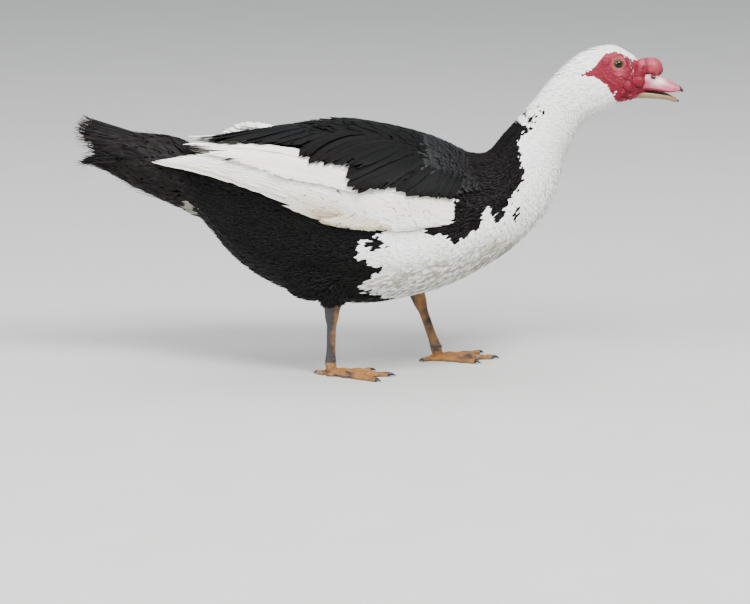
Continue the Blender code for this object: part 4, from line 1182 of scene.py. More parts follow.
for label, (x, turn, length, lift) in enumerate(RUFFLES):
    count = RUFFLED_IN_BUNCH
    at = x + draw.uniform(-10, 10, count)
    turns = np.radians(turn + draw.uniform(-9, 5, count))
    lengths = draw.uniform(0.75, 1, count) * length
    lines = flow_lines(shell(1), ruffled_flow, at, turns, lengths, steps=6, upstream=True)
    plumage(
        f"ruffled_feathers_{label}", shell(1), -1, lines, draw.uniform(6, 9, count),
        (3, lift * draw.uniform(0.8, 1.05, count)),
        (np.ones(count), draw.uniform(0, 1, count), np.full(count, 0.9)), shell_unwrap,
        body_feather, "white_feather", rows=16, columns=9, outline=SOFT_OUTLINE, thick=0.5,
        ragged=0.32, jagged=0.4, tilt=0.7, rise=1.2, soft=0.3, seed=56 + label,
    )

# Tail. Broad black keratin feathers on an arched fan, tips frayed and sun-bleached brown, and
# soft coverts over and under its root.
FAN_ROOT_X, FAN_TIP_X = -300, -386
FAN_HALF_ROOT, FAN_HALF_TIP = 24, 60
FAN_HEIGHT, FAN_RISE, FAN_DROP = 302, 25, 42
# Length of the fan's feathers by their share of the way out: longest half way, with a notch
FAN_LENGTHS = ((0, 0.9), (0.5, 1.02), (0.66, 0.96), (0.8, 0.76), (0.9, 0.84), (1, 0.98))
TAIL_FEATHERS_A_SIDE, TAIL_FEATHER_HALF, TAIL_STEP = 9, 7.6, 0.9
TAIL_COVERTS, TAIL_COVERT_PITCH, TAIL_COVERT_SINK = (-0.3, 3.9), (7.0, 4.6), -5.2


def on_fan(reach, across):
    length = (FAN_TIP_X - FAN_ROOT_X) * np.interp(np.abs(across), *zip(*FAN_LENGTHS))
    half = FAN_HALF_ROOT + (FAN_HALF_TIP - FAN_HALF_ROOT) * reach
    up = FAN_HEIGHT + FAN_RISE * reach - FAN_DROP * across**2 * (0.55 + 0.45 * reach)
    return np.stack([FAN_ROOT_X + length * reach, across * half, up], -1)


def fan_unwrap(reach, across):
    return reach * 0.2 + 0.4, across * 0.4 + 0.5


number = np.arange(-TAIL_FEATHERS_A_SIDE, TAIL_FEATHERS_A_SIDE + 1)
across = number / TAIL_FEATHERS_A_SIDE
t = np.linspace(0, 1, 7)[None]
reach = t * (1 + draw.uniform(-0.07, 0.0, len(number)))[:, None]
sideways = across[:, None] * (0.7 + 0.3 * t)
level = TAIL_STEP * (TAIL_FEATHERS_A_SIDE / 2 - np.abs(number))
zero = 0 * across
plumage(
    "tail_feathers", on_fan, -1, (reach, sideways), TAIL_FEATHER_HALF + zero, (level, level),
    (zero, draw.uniform(0, 1, len(number)), zero + 0.4),
    fan_unwrap, worn_feather, "black_feather",
    rows=18, columns=11, outline=((0, 0.5), (0.45, 0.9), (0.84, 1), (0.95, 0.8), (1, 0.4)),
    thick=0.5, ragged=0.34, jagged=0.5, rise=1, seed=60,
)
p, q, stretch = tiled(on_tail, *TAIL_COVERTS, lambda p: TAIL_COVERT_PITCH, seed=61, jitter=0.4)
length = (30 + 38 * blend(0.4, 2.6, p)) * draw.uniform(0.8, 1.15, len(p))
room = on_tail(p, q)[:, 0] - FAN_TIP_X - 20 * np.abs(np.cos(q)) + draw.uniform(-12, 8, len(p))
length = np.clip(length, 8, np.maximum(room, 8))


def behind_tail(p, q):
    return on_tail(-p, q)


def tail_flow(p, q):
    return 0.22 * waves(p, q, 15, 1.2, 0.9)


def tail_unwrap(p, q):
    return p / 6 + 0.12, np.mod(q / math.tau, 1) * 0.98 + 0.01


p_line, q_line = flow_lines(behind_tail, tail_flow, -p, q, length, steps=5)
tail_lines = (-p_line, q_line)
white, _ = markings(on_tail(tail_lines[0][:, 2], tail_lines[1][:, 2]))
tail_coat = plumage(
    "tail_coverts", on_tail, 1, tail_lines, draw.uniform(3.6, 5.6, len(p)),
    (TAIL_COVERT_SINK, 0.8 + 2.0 * draw.uniform(0, 1, len(p)) * blend(1, 3, p)),
    (white * 0.35, draw.uniform(0, 1, len(p)), 0 * p + 0.4), tail_unwrap,
    worn_feather, "black_feather", rows=9, columns=5, thick=0.4, outline=SOFT_OUTLINE,
    ragged=0.5, jagged=0.4, rise=1.2, seed=62,
)
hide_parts("tail")

# Loose barbs: single threads of keratin, frayed off the tail feathers and their coverts, which
# make the tail's end ragged. They are drawn coarser than real ones, so that they show.
FRAY_COUNT, FRAY_OUTLINE = 420, ((0, 1), (0.6, 0.8), (1, 0.1))
p = draw.uniform(1.4, 4.2, FRAY_COUNT)
q = draw.uniform(0, math.tau, FRAY_COUNT)
room = on_tail(p, q)[:, 0] - FAN_TIP_X - 14 * np.abs(np.cos(q)) + draw.uniform(-16, 10, FRAY_COUNT)
length = np.clip(draw.uniform(24, 58, FRAY_COUNT), 8, np.maximum(room, 8))
p_line, q_line = flow_lines(
    behind_tail, lambda p, q: 0.35 * waves(p, q, 16, 0.7, 0.5), -p, q, length, steps=6
)
plumage(
    "tail_fray", on_tail, 1, (-p_line, q_line), draw.uniform(0.4, 0.8, FRAY_COUNT),
    (-2, draw.uniform(0.5, 6, FRAY_COUNT)),
    (0 * p, draw.uniform(0, 1, FRAY_COUNT), 0 * p + 0.3), tail_unwrap,
    worn_feather, "black_feather", rows=8, columns=3, thick=0.3,
    outline=FRAY_OUTLINE, rise=0.8, seed=63,
)
across = draw.uniform(-1.05, 1.05, FRAY_COUNT)
start = draw.uniform(0.45, 0.8, FRAY_COUNT)[:, None]
t = np.linspace(0, 1, 6)[None]
lines = (
    start + (draw.uniform(0.9, 1.12, FRAY_COUNT)[:, None] - start) * t,
    across[:, None] + draw.normal(0, 0.06, FRAY_COUNT)[:, None] * t,
)
plumage(
    "tail_fan_fray", on_fan, -1, lines, draw.uniform(0.4, 0.9, FRAY_COUNT),
    (draw.uniform(-6, 3, FRAY_COUNT), draw.uniform(-9, 6, FRAY_COUNT)),
    (0 * across, draw.uniform(0, 1, FRAY_COUNT), 0 * across + 0.3),
    fan_unwrap, worn_feather, "black_feather", rows=7,
    columns=3, thick=0.3, outline=FRAY_OUTLINE, rise=1, seed=64,
)

# Thighs. Short soft black keratin feathers, rooted in the skin, cover the drumstick and end in
# a cuff above the hock. They are ragged, as down is, so that no edge shows.
DOWN_PITCH, DOWN_HALF, DOWN_SINK = (4.6, 3.8), (2.8, 3.8), -4.2
for name, side in SIDES.items():
    x, y, z = DRUMSTICK_PLACE
    middle = np.array(HOCKS[name]) + np.array((x, y * side, z))
    tilt_by = math.radians(DRUMSTICK_TURN)

    def on_drumstick(p, q, middle=middle):
        """Points of the drumstick by share from its rear end to its front, and by angle."""
        a, b, c = DRUMSTICK_RADII
        along = a * np.cos(math.pi * (1 - p))
        out = np.sin(math.pi * (1 - p))
        y, z = b * out * np.cos(q), c * out * np.sin(q)
        s, k = math.sin(tilt_by), math.cos(tilt_by)
        return middle + np.stack([along * k + z * s, y, z * k - along * s], -1)

    thigh_rows = [(*place, radius) for place, radius in zip(thigh_line(name), THIGH_RADII)]
    thigh_curves = curves(np.linspace(1, 0, 6)[::-1], thigh_rows[::-1])

    def on_cone(p, q, shape=thigh_curves):
        """Points of the thigh's cone, from 0 at the hock to 1 at the hip."""
        x, y, z, r = np.moveaxis(shape(p), -1, 0)
        return np.stack([x + r * np.sin(q), y + r * np.cos(q), z], -1)

    for label, surface, start, end, reach in (
        ("drumstick", on_drumstick, 0.08, 0.95, (17, 24)),
        ("cuff", on_cone, 0.47, 0.85, (12, 17)),
    ):
        p, q, _ = tiled(surface, start, end, lambda p: DOWN_PITCH, seed=70)
        across = surface(p[:1], q[:1]) - surface(p[:1], q[:1] + math.pi)
        out_sign = np.sign((np.cross(*slopes_of(surface, p[:1], q[:1])) * across).sum())
        lines = flow_lines(surface, straight, p, q, draw.uniform(*reach, len(p)), steps=3)
        white, tint = markings(surface(p, q))
        if label == "cuff":
            white, tint = 0 * p, 0 * p + 0.5
        plumage(
            f"{label}_{name}", surface, out_sign, lines, draw.uniform(*DOWN_HALF, len(p)),
            (DOWN_SINK, 0.3 + 2.2 * draw.uniform(0, 1, len(p)) ** 2),
            (white, draw.uniform(0, 1, len(p)), tint),
            lambda p, q: (np.clip(p, 0, 1) * 0.9 + 0.05, np.mod(q / math.tau, 1) * 0.98 + 0.01),
            body_feather, "black_feather", rows=6, thick=0.35, ragged=0.4, jagged=0.2, rise=1.1,
            soft=0.3, seed=71,
        )

# The bare face. Thin crimson skin without feathers surrounds the eyes and swells into warty
# lobes, caruncles, over the gape and round the bill's root, with a glossy knob above the bill.
# It is one surface, tucked in under the feathers round it.
EYE_OUT, EYE_RADIUS = 20.3, 7.4
EYE_AT = (-1.2, -2.2)  # forward and up from the head's origin
LID_RADIUS, LID_THICKNESS, LID_STRETCH, LID_OUT = 7.0, 1.3, 1.08, 3.6
KNOB_CENTRE, KNOB_RADII, KNOB_PITCH = (44.6, 0, -8.6), (12.7, 12.2, 11.0), 22
# The rest of the knob, on the middle line: its front below, its middle and its rear
KNOB_PARTS = [
    ((50, 0, -14.2), (8.4, 9.2, 8.0), 0),
    ((37, 0, -7.4), (11.5, 12.2, 9.6), 0),
    ((30.5, 0, -7.4), (9.5, 11, 8.6), 0),
    ((36.5, 0, -13), (11, 12.4, 6.6), 0),
]
# Caruncles of one side: (forward, up), (radius along, radius out, radius up), depth in the skin
CARUNCLES = {
    "saddle": ((36.5, -11.5), (9.0, 6.0, 6.5), 5.0),
    "behind_knob": ((25.5, -9.5), (7.0, 5.5, 6.0), 5.0),
    "forehead": ((20.5, -4.5), (5.0, 4.5, 4.5), 2.5),
    "bridge": ((27.0, -14.0), (7.2, 5.4, 4.8), 3.0),
    "cheek_front": ((25.4, -25.6), (9.2, 7.4, 8.6), 2.6),
    "cheek_back": ((11.6, -30.6), (6.0, 6.0, 7.6), 2.6),
    "jaw": ((4.5, -39.0), (5.0, 4.5, 5.0), 3.2),
    "gape": ((16.0, -43.0), (8.0, 5.6, 4.6), 3.0),
    "chin": ((5.0, -48.0), (7.4, 5.4, 4.2), 3.5),
    "behind_eye": ((-17.0, -3.0), (5.5, 4.0, 7.0), 3.0),
}
# Folds of bare skin on one side: points (forward, up) and half thickness
FOLDS = {
    "brow": ([(-9.5, 4.5), (-5, 8), (2, 8.6), (8, 5)], 1.6),
    "before_eye": ([(9, 6), (11.4, 2), (12.6, -5), (14, -13)], 2.0),
    "ahead": ([(16, -1), (17.6, -5), (18, -10), (20, -15)], 1.8),
    "under_eye": ([(-12, -9), (-8, -14.5), (0, -17), (9, -16)], 1.9),
    "cheek": ([(-21, -10), (-18, -19), (-10, -25), (1, -33)], 2.0),
}
SMALL_WARTS, WARTY = 9, ("jaw", "gape", "chin", "behind_eye")  # how many, and on which caruncles
FACE_VOXEL = 0.62
TUCK = 3.2  # how deep the face's edge goes under the feathers
# Furrows round the cheek's lobes and the chin: forward, up, radius along and radius up
LOBE_FURROWS = [(25.4, -25.6, 8.4, 8.0), (11.4, -30.4, 6.0, 7.4), (22, -38, 8, 4.6)]
# Grain of the bare skin: size, seed and height of its pebbles, fine, finer and lobed
GRAIN, FINER_GRAIN, LOBES, WRINKLES = (1.9, 0, 0.34), (0.95, 4.0, 0.12), (8.5, 2.0, 1.3), (3.8, 6.0)
CREASE_AT, KNOB_CREASE_AT = 17.6, 34.0  # how far forward the furrows before eye and knob are
# Depths of the furrow before the eye, the knob's, the lobes' and the upper lid's
CREASE, KNOB_CREASE, LOBE_CREASE, LID_CREASE = 0.9, 0.7, 0.8, 0.5

grid_p, grid_q = np.meshgrid(np.linspace(8, 12, 160), np.linspace(-math.pi / 2, math.pi / 2, 120))
side_grid = (on_body(grid_p, grid_q) - HEAD).reshape(-1, 3)


def head_width(forward, up):
    """How far out the head's skin is at a place in the side view."""
    return side_grid[np.argmin(np.hypot(side_grid[:, 0] - forward, side_grid[:, 2] - up)), 1]


def at_head(forward, out, up):
    return HEAD + np.array((forward, out, up))


def smooth_tube(points, radii, sides=16, steps=20):
    """Rings of a tube along a smooth curve through points."""
    table = [(*point, radius) for point, radius in zip(points, radii)]
    found = curves(range(len(table)), table)(np.linspace(0, len(table) - 1, steps))
    return tube_rings(found[:, :3], np.maximum(found[:, 3], 0.2), sides)


face_at = np.linspace(8.3, 12, 60)
rings = sunk_rings(on_body, face_at, 96, np.zeros(60))
round_off(rings, (25, 50, 75), 4)
lobes = [tube_object("face", rings)]
for centre, radii, pitch in [(KNOB_CENTRE, KNOB_RADII, KNOB_PITCH)] + KNOB_PARTS:
    lobes.append(ellipsoid(at_head(*centre), radii, pitch, 40, 26))
uneven = np.random.default_rng(5)
for label, ((forward, up), radii, depth) in CARUNCLES.items():
    out = max(head_width(forward, up) - depth, 3.5)
    for side in SIDES.values():
        size = uneven.uniform(0.94, 1.06)
        grown = np.array(radii) * size
        pitch = uneven.uniform(-15, 15)
        middle = at_head(forward, out * side, up)
        lobes.append(ellipsoid(middle, grown, pitch, 24, 16))
        for _ in range(SMALL_WARTS if label in WARTY else 0):
            away = uneven.normal(size=3)
            away /= np.linalg.norm(away)
            wart = uneven.uniform(1.0, 2.5)
            lobes.append(ellipsoid(middle + away * (grown - 0.55 * wart), (wart,) * 3, 0, 12, 8))
for points, thickness in FOLDS.values():
    for side in SIDES.values():
        line = [at_head(x, (head_width(x, z) - 0.35 * thickness) * side, z) for x, z in points]
        radii = [thickness * share for share in (0.4, 1, 1, 0.4)]
        lobes.append(tube_object("fold", smooth_tube(line, radii)))
for side in SIDES.values():
    turns = np.linspace(0, math.tau, 41)[:-1]
    around = np.stack([LID_STRETCH * np.cos(turns), 0 * turns, np.sin(turns)], 1)
    rings = []
    for roll in np.linspace(0, math.tau, 13)[:-1]:
        reach = LID_RADIUS + LID_THICKNESS * math.cos(roll)
        out = EYE_OUT + LID_OUT + LID_THICKNESS * math.sin(roll)
        rings.append(at_head(EYE_AT[0], side * out, EYE_AT[1]) + around * reach)
    count = len(turns)
    corners = []
    for r in range(12):
        for i in range(count):
            a, b = r * count, (r + 1) % 12 * count
            j = (i + 1) % count
            corners += [a + i, a + j, b + j, b + i]
    lids = mesh_object("lids", np.concatenate(rings), corners, [4] * (12 * count))
    outwards(lids)
    lobes.append(lids)
face = join(lobes, "face_skin")
apply_modifier(face, "REMESH", mode="VOXEL", voxel_size=FACE_VOXEL * MM)
apply_modifier(face, "SMOOTH", factor=0.5, iterations=5)
forward, out, up = np.moveaxis(points_of(face) - HEAD, -1, 0)
knobbed = blend(20, 26, forward) * blend(-21, -16, up)
melted = face.vertex_groups.new(name="knob")
for share in (0.25, 0.5, 0.75, 1.0):
    at = np.nonzero((knobbed > share - 0.25) & (knobbed <= share))[0]
    melted.add(at.tolist(), share, "REPLACE")
apply_modifier(face, "SMOOTH", factor=0.5, iterations=45, vertex_group="knob")
face.vertex_groups.clear()


def pebbles(points, size, seed, height=1):
    """Rounded grains packed over a surface, as high as height at their middles, 0 between them."""
    offset = Vector((seed, seed * 0.7, seed * 1.3))
    gaps = [noise.voronoi(Vector(p) / size + offset)[0] for p in points]
    return np.clip(np.array([(g[1] - g[0]) for g in gaps]) / 0.45, 0, 1) * height


def raised(obj, rounds):
    """How far points stand over a copy of the surface that is smoothed as often as rounds."""
    calm = obj.copy()
    calm.data = obj.data.copy()
    bpy.context.scene.collection.objects.link(calm)
    apply_modifier(calm, "SMOOTH", factor=0.5, iterations=rounds)
    found = ((points_of(obj) - points_of(calm)) * normals_of(obj)).sum(1)
    bpy.data.objects.remove(calm)
    return found


points, normals = points_of(face), normals_of(face)
forward, out, up = np.moveaxis(points - HEAD, -1, 0)


def spot(ahead, over, wide, high):
    """1 at a place of the head's side view, fading to 0 past its radii, at each point."""
    return np.exp(-(((forward - ahead) / wide) ** 2) - ((up - over) / high) ** 2)


eye_reach = np.hypot(forward - EYE_AT[0], up - EYE_AT[1])
knob_share = 1 - blend(0.9, 1.25, size_of((points - at_head(*KNOB_CENTRE)) / (12, 13, 12.4)))
behind = blend(9, -3, size_of(np.stack([forward - 29.5, 0 * up, up + 2.5], -1)))
calm = np.clip(np.maximum(knob_share, behind), 0, 1)
lobed = blend(-2, 8, forward) * blend(-10, -17, up) * (1 - calm)
cheek = spot(25, -26, 9, 9) + spot(11.6, -31, 6, 7.5)
cheek = np.clip(1.5 * cheek, 0, 1)
grain = (pebbles(points, *GRAIN) + pebbles(points, *FINER_GRAIN)) * (1 - 0.5 * cheek)
grain *= (1 - 0.93 * calm) * (0.25 + 0.75 * blend(7.5, 12, eye_reach))
grain += (pebbles(points, *LOBES[:2]) - 1) * LOBES[2] * lobed * (1 - cheek)
wrinkles = (pebbles(points, *WRINKLES) - 1) * (0.3 + 0.25 * lobed)
grain += wrinkles * (1 - calm) * blend(8.5, 11, eye_reach) * (1 - 0.75 * cheek)
folds = np.sin(forward * 1.25 + 1.1 * np.sin(up * 0.55 + 1.0)) * 0.35
folds += np.sin(up * 1.3 + 0.25 * forward) * 0.3
grain += folds * behind * blend(40, 36, forward) * blend(-20, -15, up)
ripple = np.sin((eye_reach + 1.4 * np.sin(np.arctan2(up, forward) * 3 + 0.8)) * math.tau / 3.1)
grain += 0.1 * ripple * blend(8, 10, eye_reach) * blend(17, 12, eye_reach)
crease_at = CREASE_AT + 0.8 * np.sin(up * 0.9)
crease = np.exp(-(((forward - crease_at) / 0.75) ** 2)) * blend(-12, -7, up) * blend(12, 7, up)
knob_crease = np.exp(-(((forward - KNOB_CREASE_AT - 0.2 * up) / 1.6) ** 2))
knob_crease *= blend(-17, -10, up) * blend(3, 0, up)
hidden = blend(-0.5, -4.5, in_mask(points)) * (1 - blend(30, 34, forward))
lobe_rings = [
    size_of(np.stack([(forward - x) / a, 0 * up, (up - z) / c], -1))
    for x, z, a, c in LOBE_FURROWS
]
lobe_crease = np.exp(-(((np.array(lobe_rings) - 1) / 0.1) ** 2)).max(0)
lobe_crease *= blend(-15, -20, up) * blend(33, 30, forward) * blend(2, 6, forward)
lid_fold = np.exp(-(((eye_reach - 7.9) / 0.55) ** 2)) * blend(1, 4, up - EYE_AT[1])
lift = grain - CREASE * crease - KNOB_CREASE * knob_crease - LOBE_CREASE * lobe_crease
lift = lift - LID_CREASE * lid_fold - TUCK * hidden
move_points(face, points + normals * lift[:, None])
ridge = np.clip(0.5 + raised(face, 16) / 1.1, 0, 1)
low = np.clip(0.5 + raised(face, 60) / 3.0, 0, 1)

# Tone: redness of the lobes at the gape and chin against the paler knob and eye surround, whose paleness is
# partly painted highlight
dark = blend(-18, -44, up) * (0.55 + 0.45 * blend(4, 18, forward))
dark = np.maximum(dark, 0.6 * spot(24, -27, 12, 10))
# Painted highlight in part: the patch under the eye and the knob, its rear lobe most, are made paler
light = np.exp(-((np.hypot(forward - 1, up + 12.5) / 7) ** 2)) * 0.5 + 0.55 * knob_share + 1.1 * behind
light += 0.3 * blend(3, 8, up) * (1 - behind)
light = np.maximum(light, 0.6 * np.exp(-((eye_reach - 8.2) / 1.1) ** 2))
mark(face, blend(7.3, 6.3, eye_reach), "Lid")
paint(face, np.stack([ridge, dark, np.clip(light, 0, 1), low], -1), "Skin")

# Bare skin of a living colour, with blood showing through. Its creases and hollows are darkened
# with painted shade and its ridges lightened with painted highlight, and its grease gives a soft
# gloss that is sharper on the knob.
material, tree = new_material("bare crimson skin")
parts = add(tree, "Attribute", attribute_name="Skin")
split = add(tree, "SeparateColor", {0: parts})
ridge, dark, light = split.outputs
place = add(tree, "TexCoord").outputs["Object"]
mottle = add(tree, "TexNoise", {"Vector": place, "Scale": 130.0, "Detail": 4.0})
pores = add(tree, "TexNoise", {"Vector": place, "Scale": 1400.0, "Detail": 2.0})
base = add(tree, "MixRGB", {0: mottle, 1: linear("#59071c"), 2: linear("#7d142a")})
paler = add(tree, "Math", {0: light, 1: 0.55}, operation="MULTIPLY")
pinker = add(tree, "MixRGB", {0: paler, 1: base, 2: linear("#cf5f70")})
deeper = add(tree, "Math", {0: dark, 1: 0.75}, operation="MULTIPLY")
redder = add(tree, "MixRGB", {0: deeper, 1: pinker, 2: linear("#6c0a1e")})
# Painted shade in the small creases
sunk = add(tree, "MapRange", {0: ridge, 1: 0.5, 2: 0.05, 3: 0.0, 4: 1.0})
crease_shaded = add(tree, "MixRGB", {0: sunk, 1: redder, 2: linear("#4a0512")})
# Painted highlight on the raised ridges
highlight_share = add(tree, "MapRange", {0: ridge, 1: 0.55, 2: 0.95, 3: 0.0, 4: 0.55})
# Painted shade in the broad hollows between the lobes
hollow_shaded = add(tree, "MapRange", {0: parts.outputs["Alpha"], 1: 0.47, 2: 0.1, 3: 0.0, 4: 0.86})
deep = add(tree, "MixRGB", {0: hollow_shaded, 1: crease_shaded, 2: linear("#4c0615")})
highlighted_colour = add(tree, "MixRGB", {0: highlight_share, 1: deep, 2: linear("#ae2e48")})
lid = add(tree, "Attribute", attribute_name="Lid")
lid_share = add(tree, "Math", {0: lid.outputs["Fac"], 1: 0.7}, operation="MULTIPLY")
bright = add(tree, "MixRGB", {0: lid_share, 1: highlighted_colour, 2: linear("#7d6a4c")})
bump = add(tree, "Bump", {"Height": pores, "Strength": 0.3, "Distance": 0.0003})
rough = add(tree, "MapRange", {0: light, 1: 0.0, 2: 1.0, 3: 0.5, 4: 0.32})
finish_material(
    tree,
    {
        "Base Color": bright,
        "Roughness": rough,
        "Normal": bump,
        "Specular IOR Level": 0.24,
        "Subsurface Weight": 0.12,
        "Subsurface Radius": (0.004, 0.001, 0.0006),
        "Subsurface Scale": 0.5,
    },
)
face.data.materials.append(material)

# Round sockets, a little wider than the glass eyes that fill them
for side in SIDES.values():
    socket = ellipsoid(at_head(EYE_AT[0], EYE_OUT * side, EYE_AT[1]), (EYE_RADIUS + 0.1,) * 3, 0, 48, 32)
    apply_modifier(face, "BOOLEAN", object=socket, operation="DIFFERENCE", solver="EXACT")
    bpy.data.objects.remove(socket)
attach(face, "root")
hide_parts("face")

# Short white bristles, bare keratin shafts, stand in the fold ahead of the eye in an uneven row
# down from the crown. Each is a tapered tube rooted in the face.
BRISTLES = [(13.5, 4.0), (13.8, -1.0), (14.6, -5.5), (17.0, -9.0), (18.6, -12.0), (16.4, -17.0)]
BRISTLE_COUNT, BRISTLE_RADII = 24, (0.22, 0.16, 0.05)
for name, side in SIDES.items():
    dice = np.random.default_rng(91)
    points, normals = points_of(face), normals_of(face)
    outer = np.nonzero(points[:, 1] * side > 6)[0]
    rings, corners, roots_uv = [], [], []
    row = dice.uniform(0, len(BRISTLES) - 1, BRISTLE_COUNT)
    for ahead, over in curves(range(len(BRISTLES)), BRISTLES)(row):
        aim = np.array((HEAD[0] + ahead, HEAD[2] + over)) + dice.normal(0, 0.9, 2)
        nearest = outer[np.argmin(np.hypot(*(points[outer][:, [0, 2]] - aim).T))]
        root = points[nearest] - normals[nearest] * 0.3
        lean = normals[nearest] * 0.5 + np.array((-0.5, 0, 0.35)) + dice.normal(0, 0.2, 3)
        tip = root + lean / np.linalg.norm(lean) * dice.uniform(1.2, 2.2)
        line = [root, (root + tip) / 2 + normals[nearest] * 0.2, tip]
        first = len(rings) * 6
        rings += tube_rings(line, BRISTLE_RADII, 6)
        for r in (0, 6):
            for i in range(6):
                a, b = first + r + i, first + r + (i + 1) % 6
                corners += [a, b, b + 6, a + 6]
        place = np.argmin(np.hypot(side_grid[:, 0] - ahead, side_grid[:, 2] - over))
        p, q = grid_p.ravel()[place], grid_q.ravel()[place]
        roots_uv.append(np.array(body_unwrap(p, q if side > 0 else math.pi - q)))
    ends = (*reversed(range(6)), *range(12, 18))
    caps = [first + i for first in range(0, len(rings) * 6, 18) for i in ends]
    sizes = [4] * (len(corners) // 4) + [6] * (2 * BRISTLE_COUNT)
    tuft = mesh_object("face_bristles_" + name, np.concatenate(rings), corners + caps, sizes)
    outwards(tuft)
    paint(tuft, np.tile([1, 0.3, 0.6, 1], (len(tuft.data.vertices), 1)))
    tuft.data.uv_layers.new(name="Vane")
    at = np.empty(len(tuft.data.loops), np.int32)
    tuft.data.loops.foreach_get("vertex_index", at)
    share = np.stack([at % 6 / 6 - 0.5, at % 18 // 6 / 2 - 0.5], -1)
    bake_uv = np.array(roots_uv)[at // 18] + BAKE_PATCH * share
    tuft.data.uv_layers.new(name="OFBake").data.foreach_set("uv", bake_uv.astype(np.float32).ravel())
    tuft.data.materials.append(body_feather)
    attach(tuft, "root")

# Eyes. Glass eyes as in a mount: a dark pupil and an olive brown iris painted behind a domed
# cornea, set deep in the ring of lids. The glass gives a sharp glint over the dark.
PUPIL, IRIS, CORNEA_RISE = 4.3, 5.8, 0.7
material, tree = new_material("glass eye, painted behind")
reach = add(tree, "Attribute", attribute_name="Reach").outputs["Fac"]
place = add(tree, "TexCoord").outputs["Object"]
fleck = add(tree, "TexNoise", {"Vector": place, "Scale": 900.0, "Detail": 3.0})
iris = add(tree, "MixRGB", {0: fleck, 1: linear("#2a1a0e"), 2: linear("#6a5226")})
in_iris = add(tree, "MapRange", {0: reach, 1: PUPIL - 0.25, 2: PUPIL + 0.35})
dark = add(tree, "MixRGB", {0: in_iris, 1: linear("#070505"), 2: iris})
in_rim = add(tree, "MapRange", {0: reach, 1: IRIS - 0.3, 2: IRIS + 0.2})
rim = add(tree, "MixRGB", {0: in_rim, 1: dark, 2: linear("#6d4636")})
finish_material(tree, {"Base Color": rim, "Roughness": 0.08, "Specular IOR Level": 0.3})
for name, side in SIDES.items():
    eye = ellipsoid((0, 0, 0), (EYE_RADIUS,) * 3, 0, 64, 48)
    eye.name = "eyeball_" + name
    eye.data.transform(Matrix.Rotation(math.radians(90), 4, "X"))
    points = points_of(eye)
    reach = np.hypot(points[:, 0], points[:, 2])
    facing_out = points[:, 1] * side > 0
    points[:, 1] += side * CORNEA_RISE * np.where(facing_out, blend(IRIS + 0.2, 0, reach), 0)
    move_points(eye, points + at_head(EYE_AT[0], EYE_OUT * side, EYE_AT[1]))
    mark(eye, np.where(facing_out, reach, EYE_RADIUS), "Reach")
    eye.data.shade_smooth()
    eye.data.materials.append(material)
    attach(eye, "root")
    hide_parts("eye_" + name)

# The bill. Leathery skin over bone, pink with a pale base, edged dark red along the mouth, with
# a black horn nail at the tip. The lower half is ivory. Each half is lofted through sections.
UPPER_BILL = [
    # forward, up of the top, up of the edge, half width
    (20, -18, -38.6, 12.6),
    (34, -16, -38.9, 13.8),
    (46, -18, -39.9, 13.2),
    (57, -22.6, -41.4, 12.4),
    (67, -28.0, -42.0, 11.8),
    (75, -31.8, -40.9, 10.4),
    (80, -35.2, -40.4, 7.6),
    (82.6, -38.6, -41.6, 3.4),
]
LOWER_BILL = [
    (18, -39.7, -50.0, 11.6),
    (34, -40.0, -50.2, 11.6),
    (50, -41.6, -50.8, 10.8),
    (62, -43.7, -52.2, 10.2),
    (70, -47.4, -54.0, 8.8),
    (75, -50.4, -55.2, 6.4),
    (77.4, -52.4, -55.0, 3.2),
]
EDGE_SHARE = 0.28  # how far up its height the upper bill is widest
NAIL_CENTRE, NAIL_RADII = (82.6, 0, -39.5), (4.8, 12, 9)
NOSTRIL_CENTRE, NOSTRIL_RADII, NOSTRIL_PITCH = (45.2, 11.4, -21.0), (4.5, 2.8, 3.3), 14


def bill_rings(stations, widest, grow=0.0, steps=90, sides=72):
    """Rings of half of the bill, rounded at its tip."""
    shape = curves(range(len(stations)), stations)
    angle = math.tau * (np.arange(sides) + 0.5) / sides
    c, s = np.cos(angle), np.sin(angle)
    rings = []
    for k in np.linspace(0, len(stations) - 1, steps):
        forward, top, edge, wide = shape(k)
        height = top - edge
        reach = height * np.where(s > 0, 1 - widest, widest) + grow
        up = edge + height * widest + np.sign(s) * np.abs(s) ** 0.9 * reach
        across = np.sign(c) * np.abs(c) ** 0.8 * (wide + grow)
        rings.append(HEAD + np.stack([np.full(sides, forward), across, up], -1))
    round_off(rings, (20, 40, 60, 80), 1.6)
    return rings


upper = tube_object("bill_upper", bill_rings(UPPER_BILL, EDGE_SHARE))
lower = tube_object("bill_lower", bill_rings(LOWER_BILL, 1 - EDGE_SHARE))
nail = tube_object("bill_nail_horn", bill_rings(UPPER_BILL, EDGE_SHARE, 0.7))
nail_shape = ellipsoid(at_head(*NAIL_CENTRE), NAIL_RADII, 0, 48, 32)
apply_modifier(nail, "BOOLEAN", object=nail_shape, operation="INTERSECT", solver="EXACT")
bpy.data.objects.remove(nail_shape)
nail.data.shade_smooth()

points, normals = points_of(upper), normals_of(upper)
forward, out, up = np.moveaxis(points - HEAD, -1, 0)
flat = np.abs(out)
s, c = math.sin(math.radians(NOSTRIL_PITCH)), math.cos(math.radians(NOSTRIL_PITCH))
x, z = forward - NOSTRIL_CENTRE[0], up - NOSTRIL_CENTRE[2]
x, z = x * c - z * s, x * s + z * c
hole_reach = np.hypot(x / NOSTRIL_RADII[0], z / NOSTRIL_RADII[2])
side_face = np.abs(normals[:, 1]) > 0.3
hole = blend(1.0, 0.55, hole_reach) * side_face
rim = np.exp(-(((hole_reach - 1.25) / 0.28) ** 2)) * side_face
lip = blend(2.4, 0.6, up + 41.0) * (normals[:, 2] < 0.6)
wrinkle = np.sin(forward * 1.9 + 0.5 * flat) * 0.06 * blend(-30, -22, up)
lift = 0.35 * rim - 3.4 * hole + 0.25 * lip + wrinkle
move_points(upper, points + normals * lift[:, None])

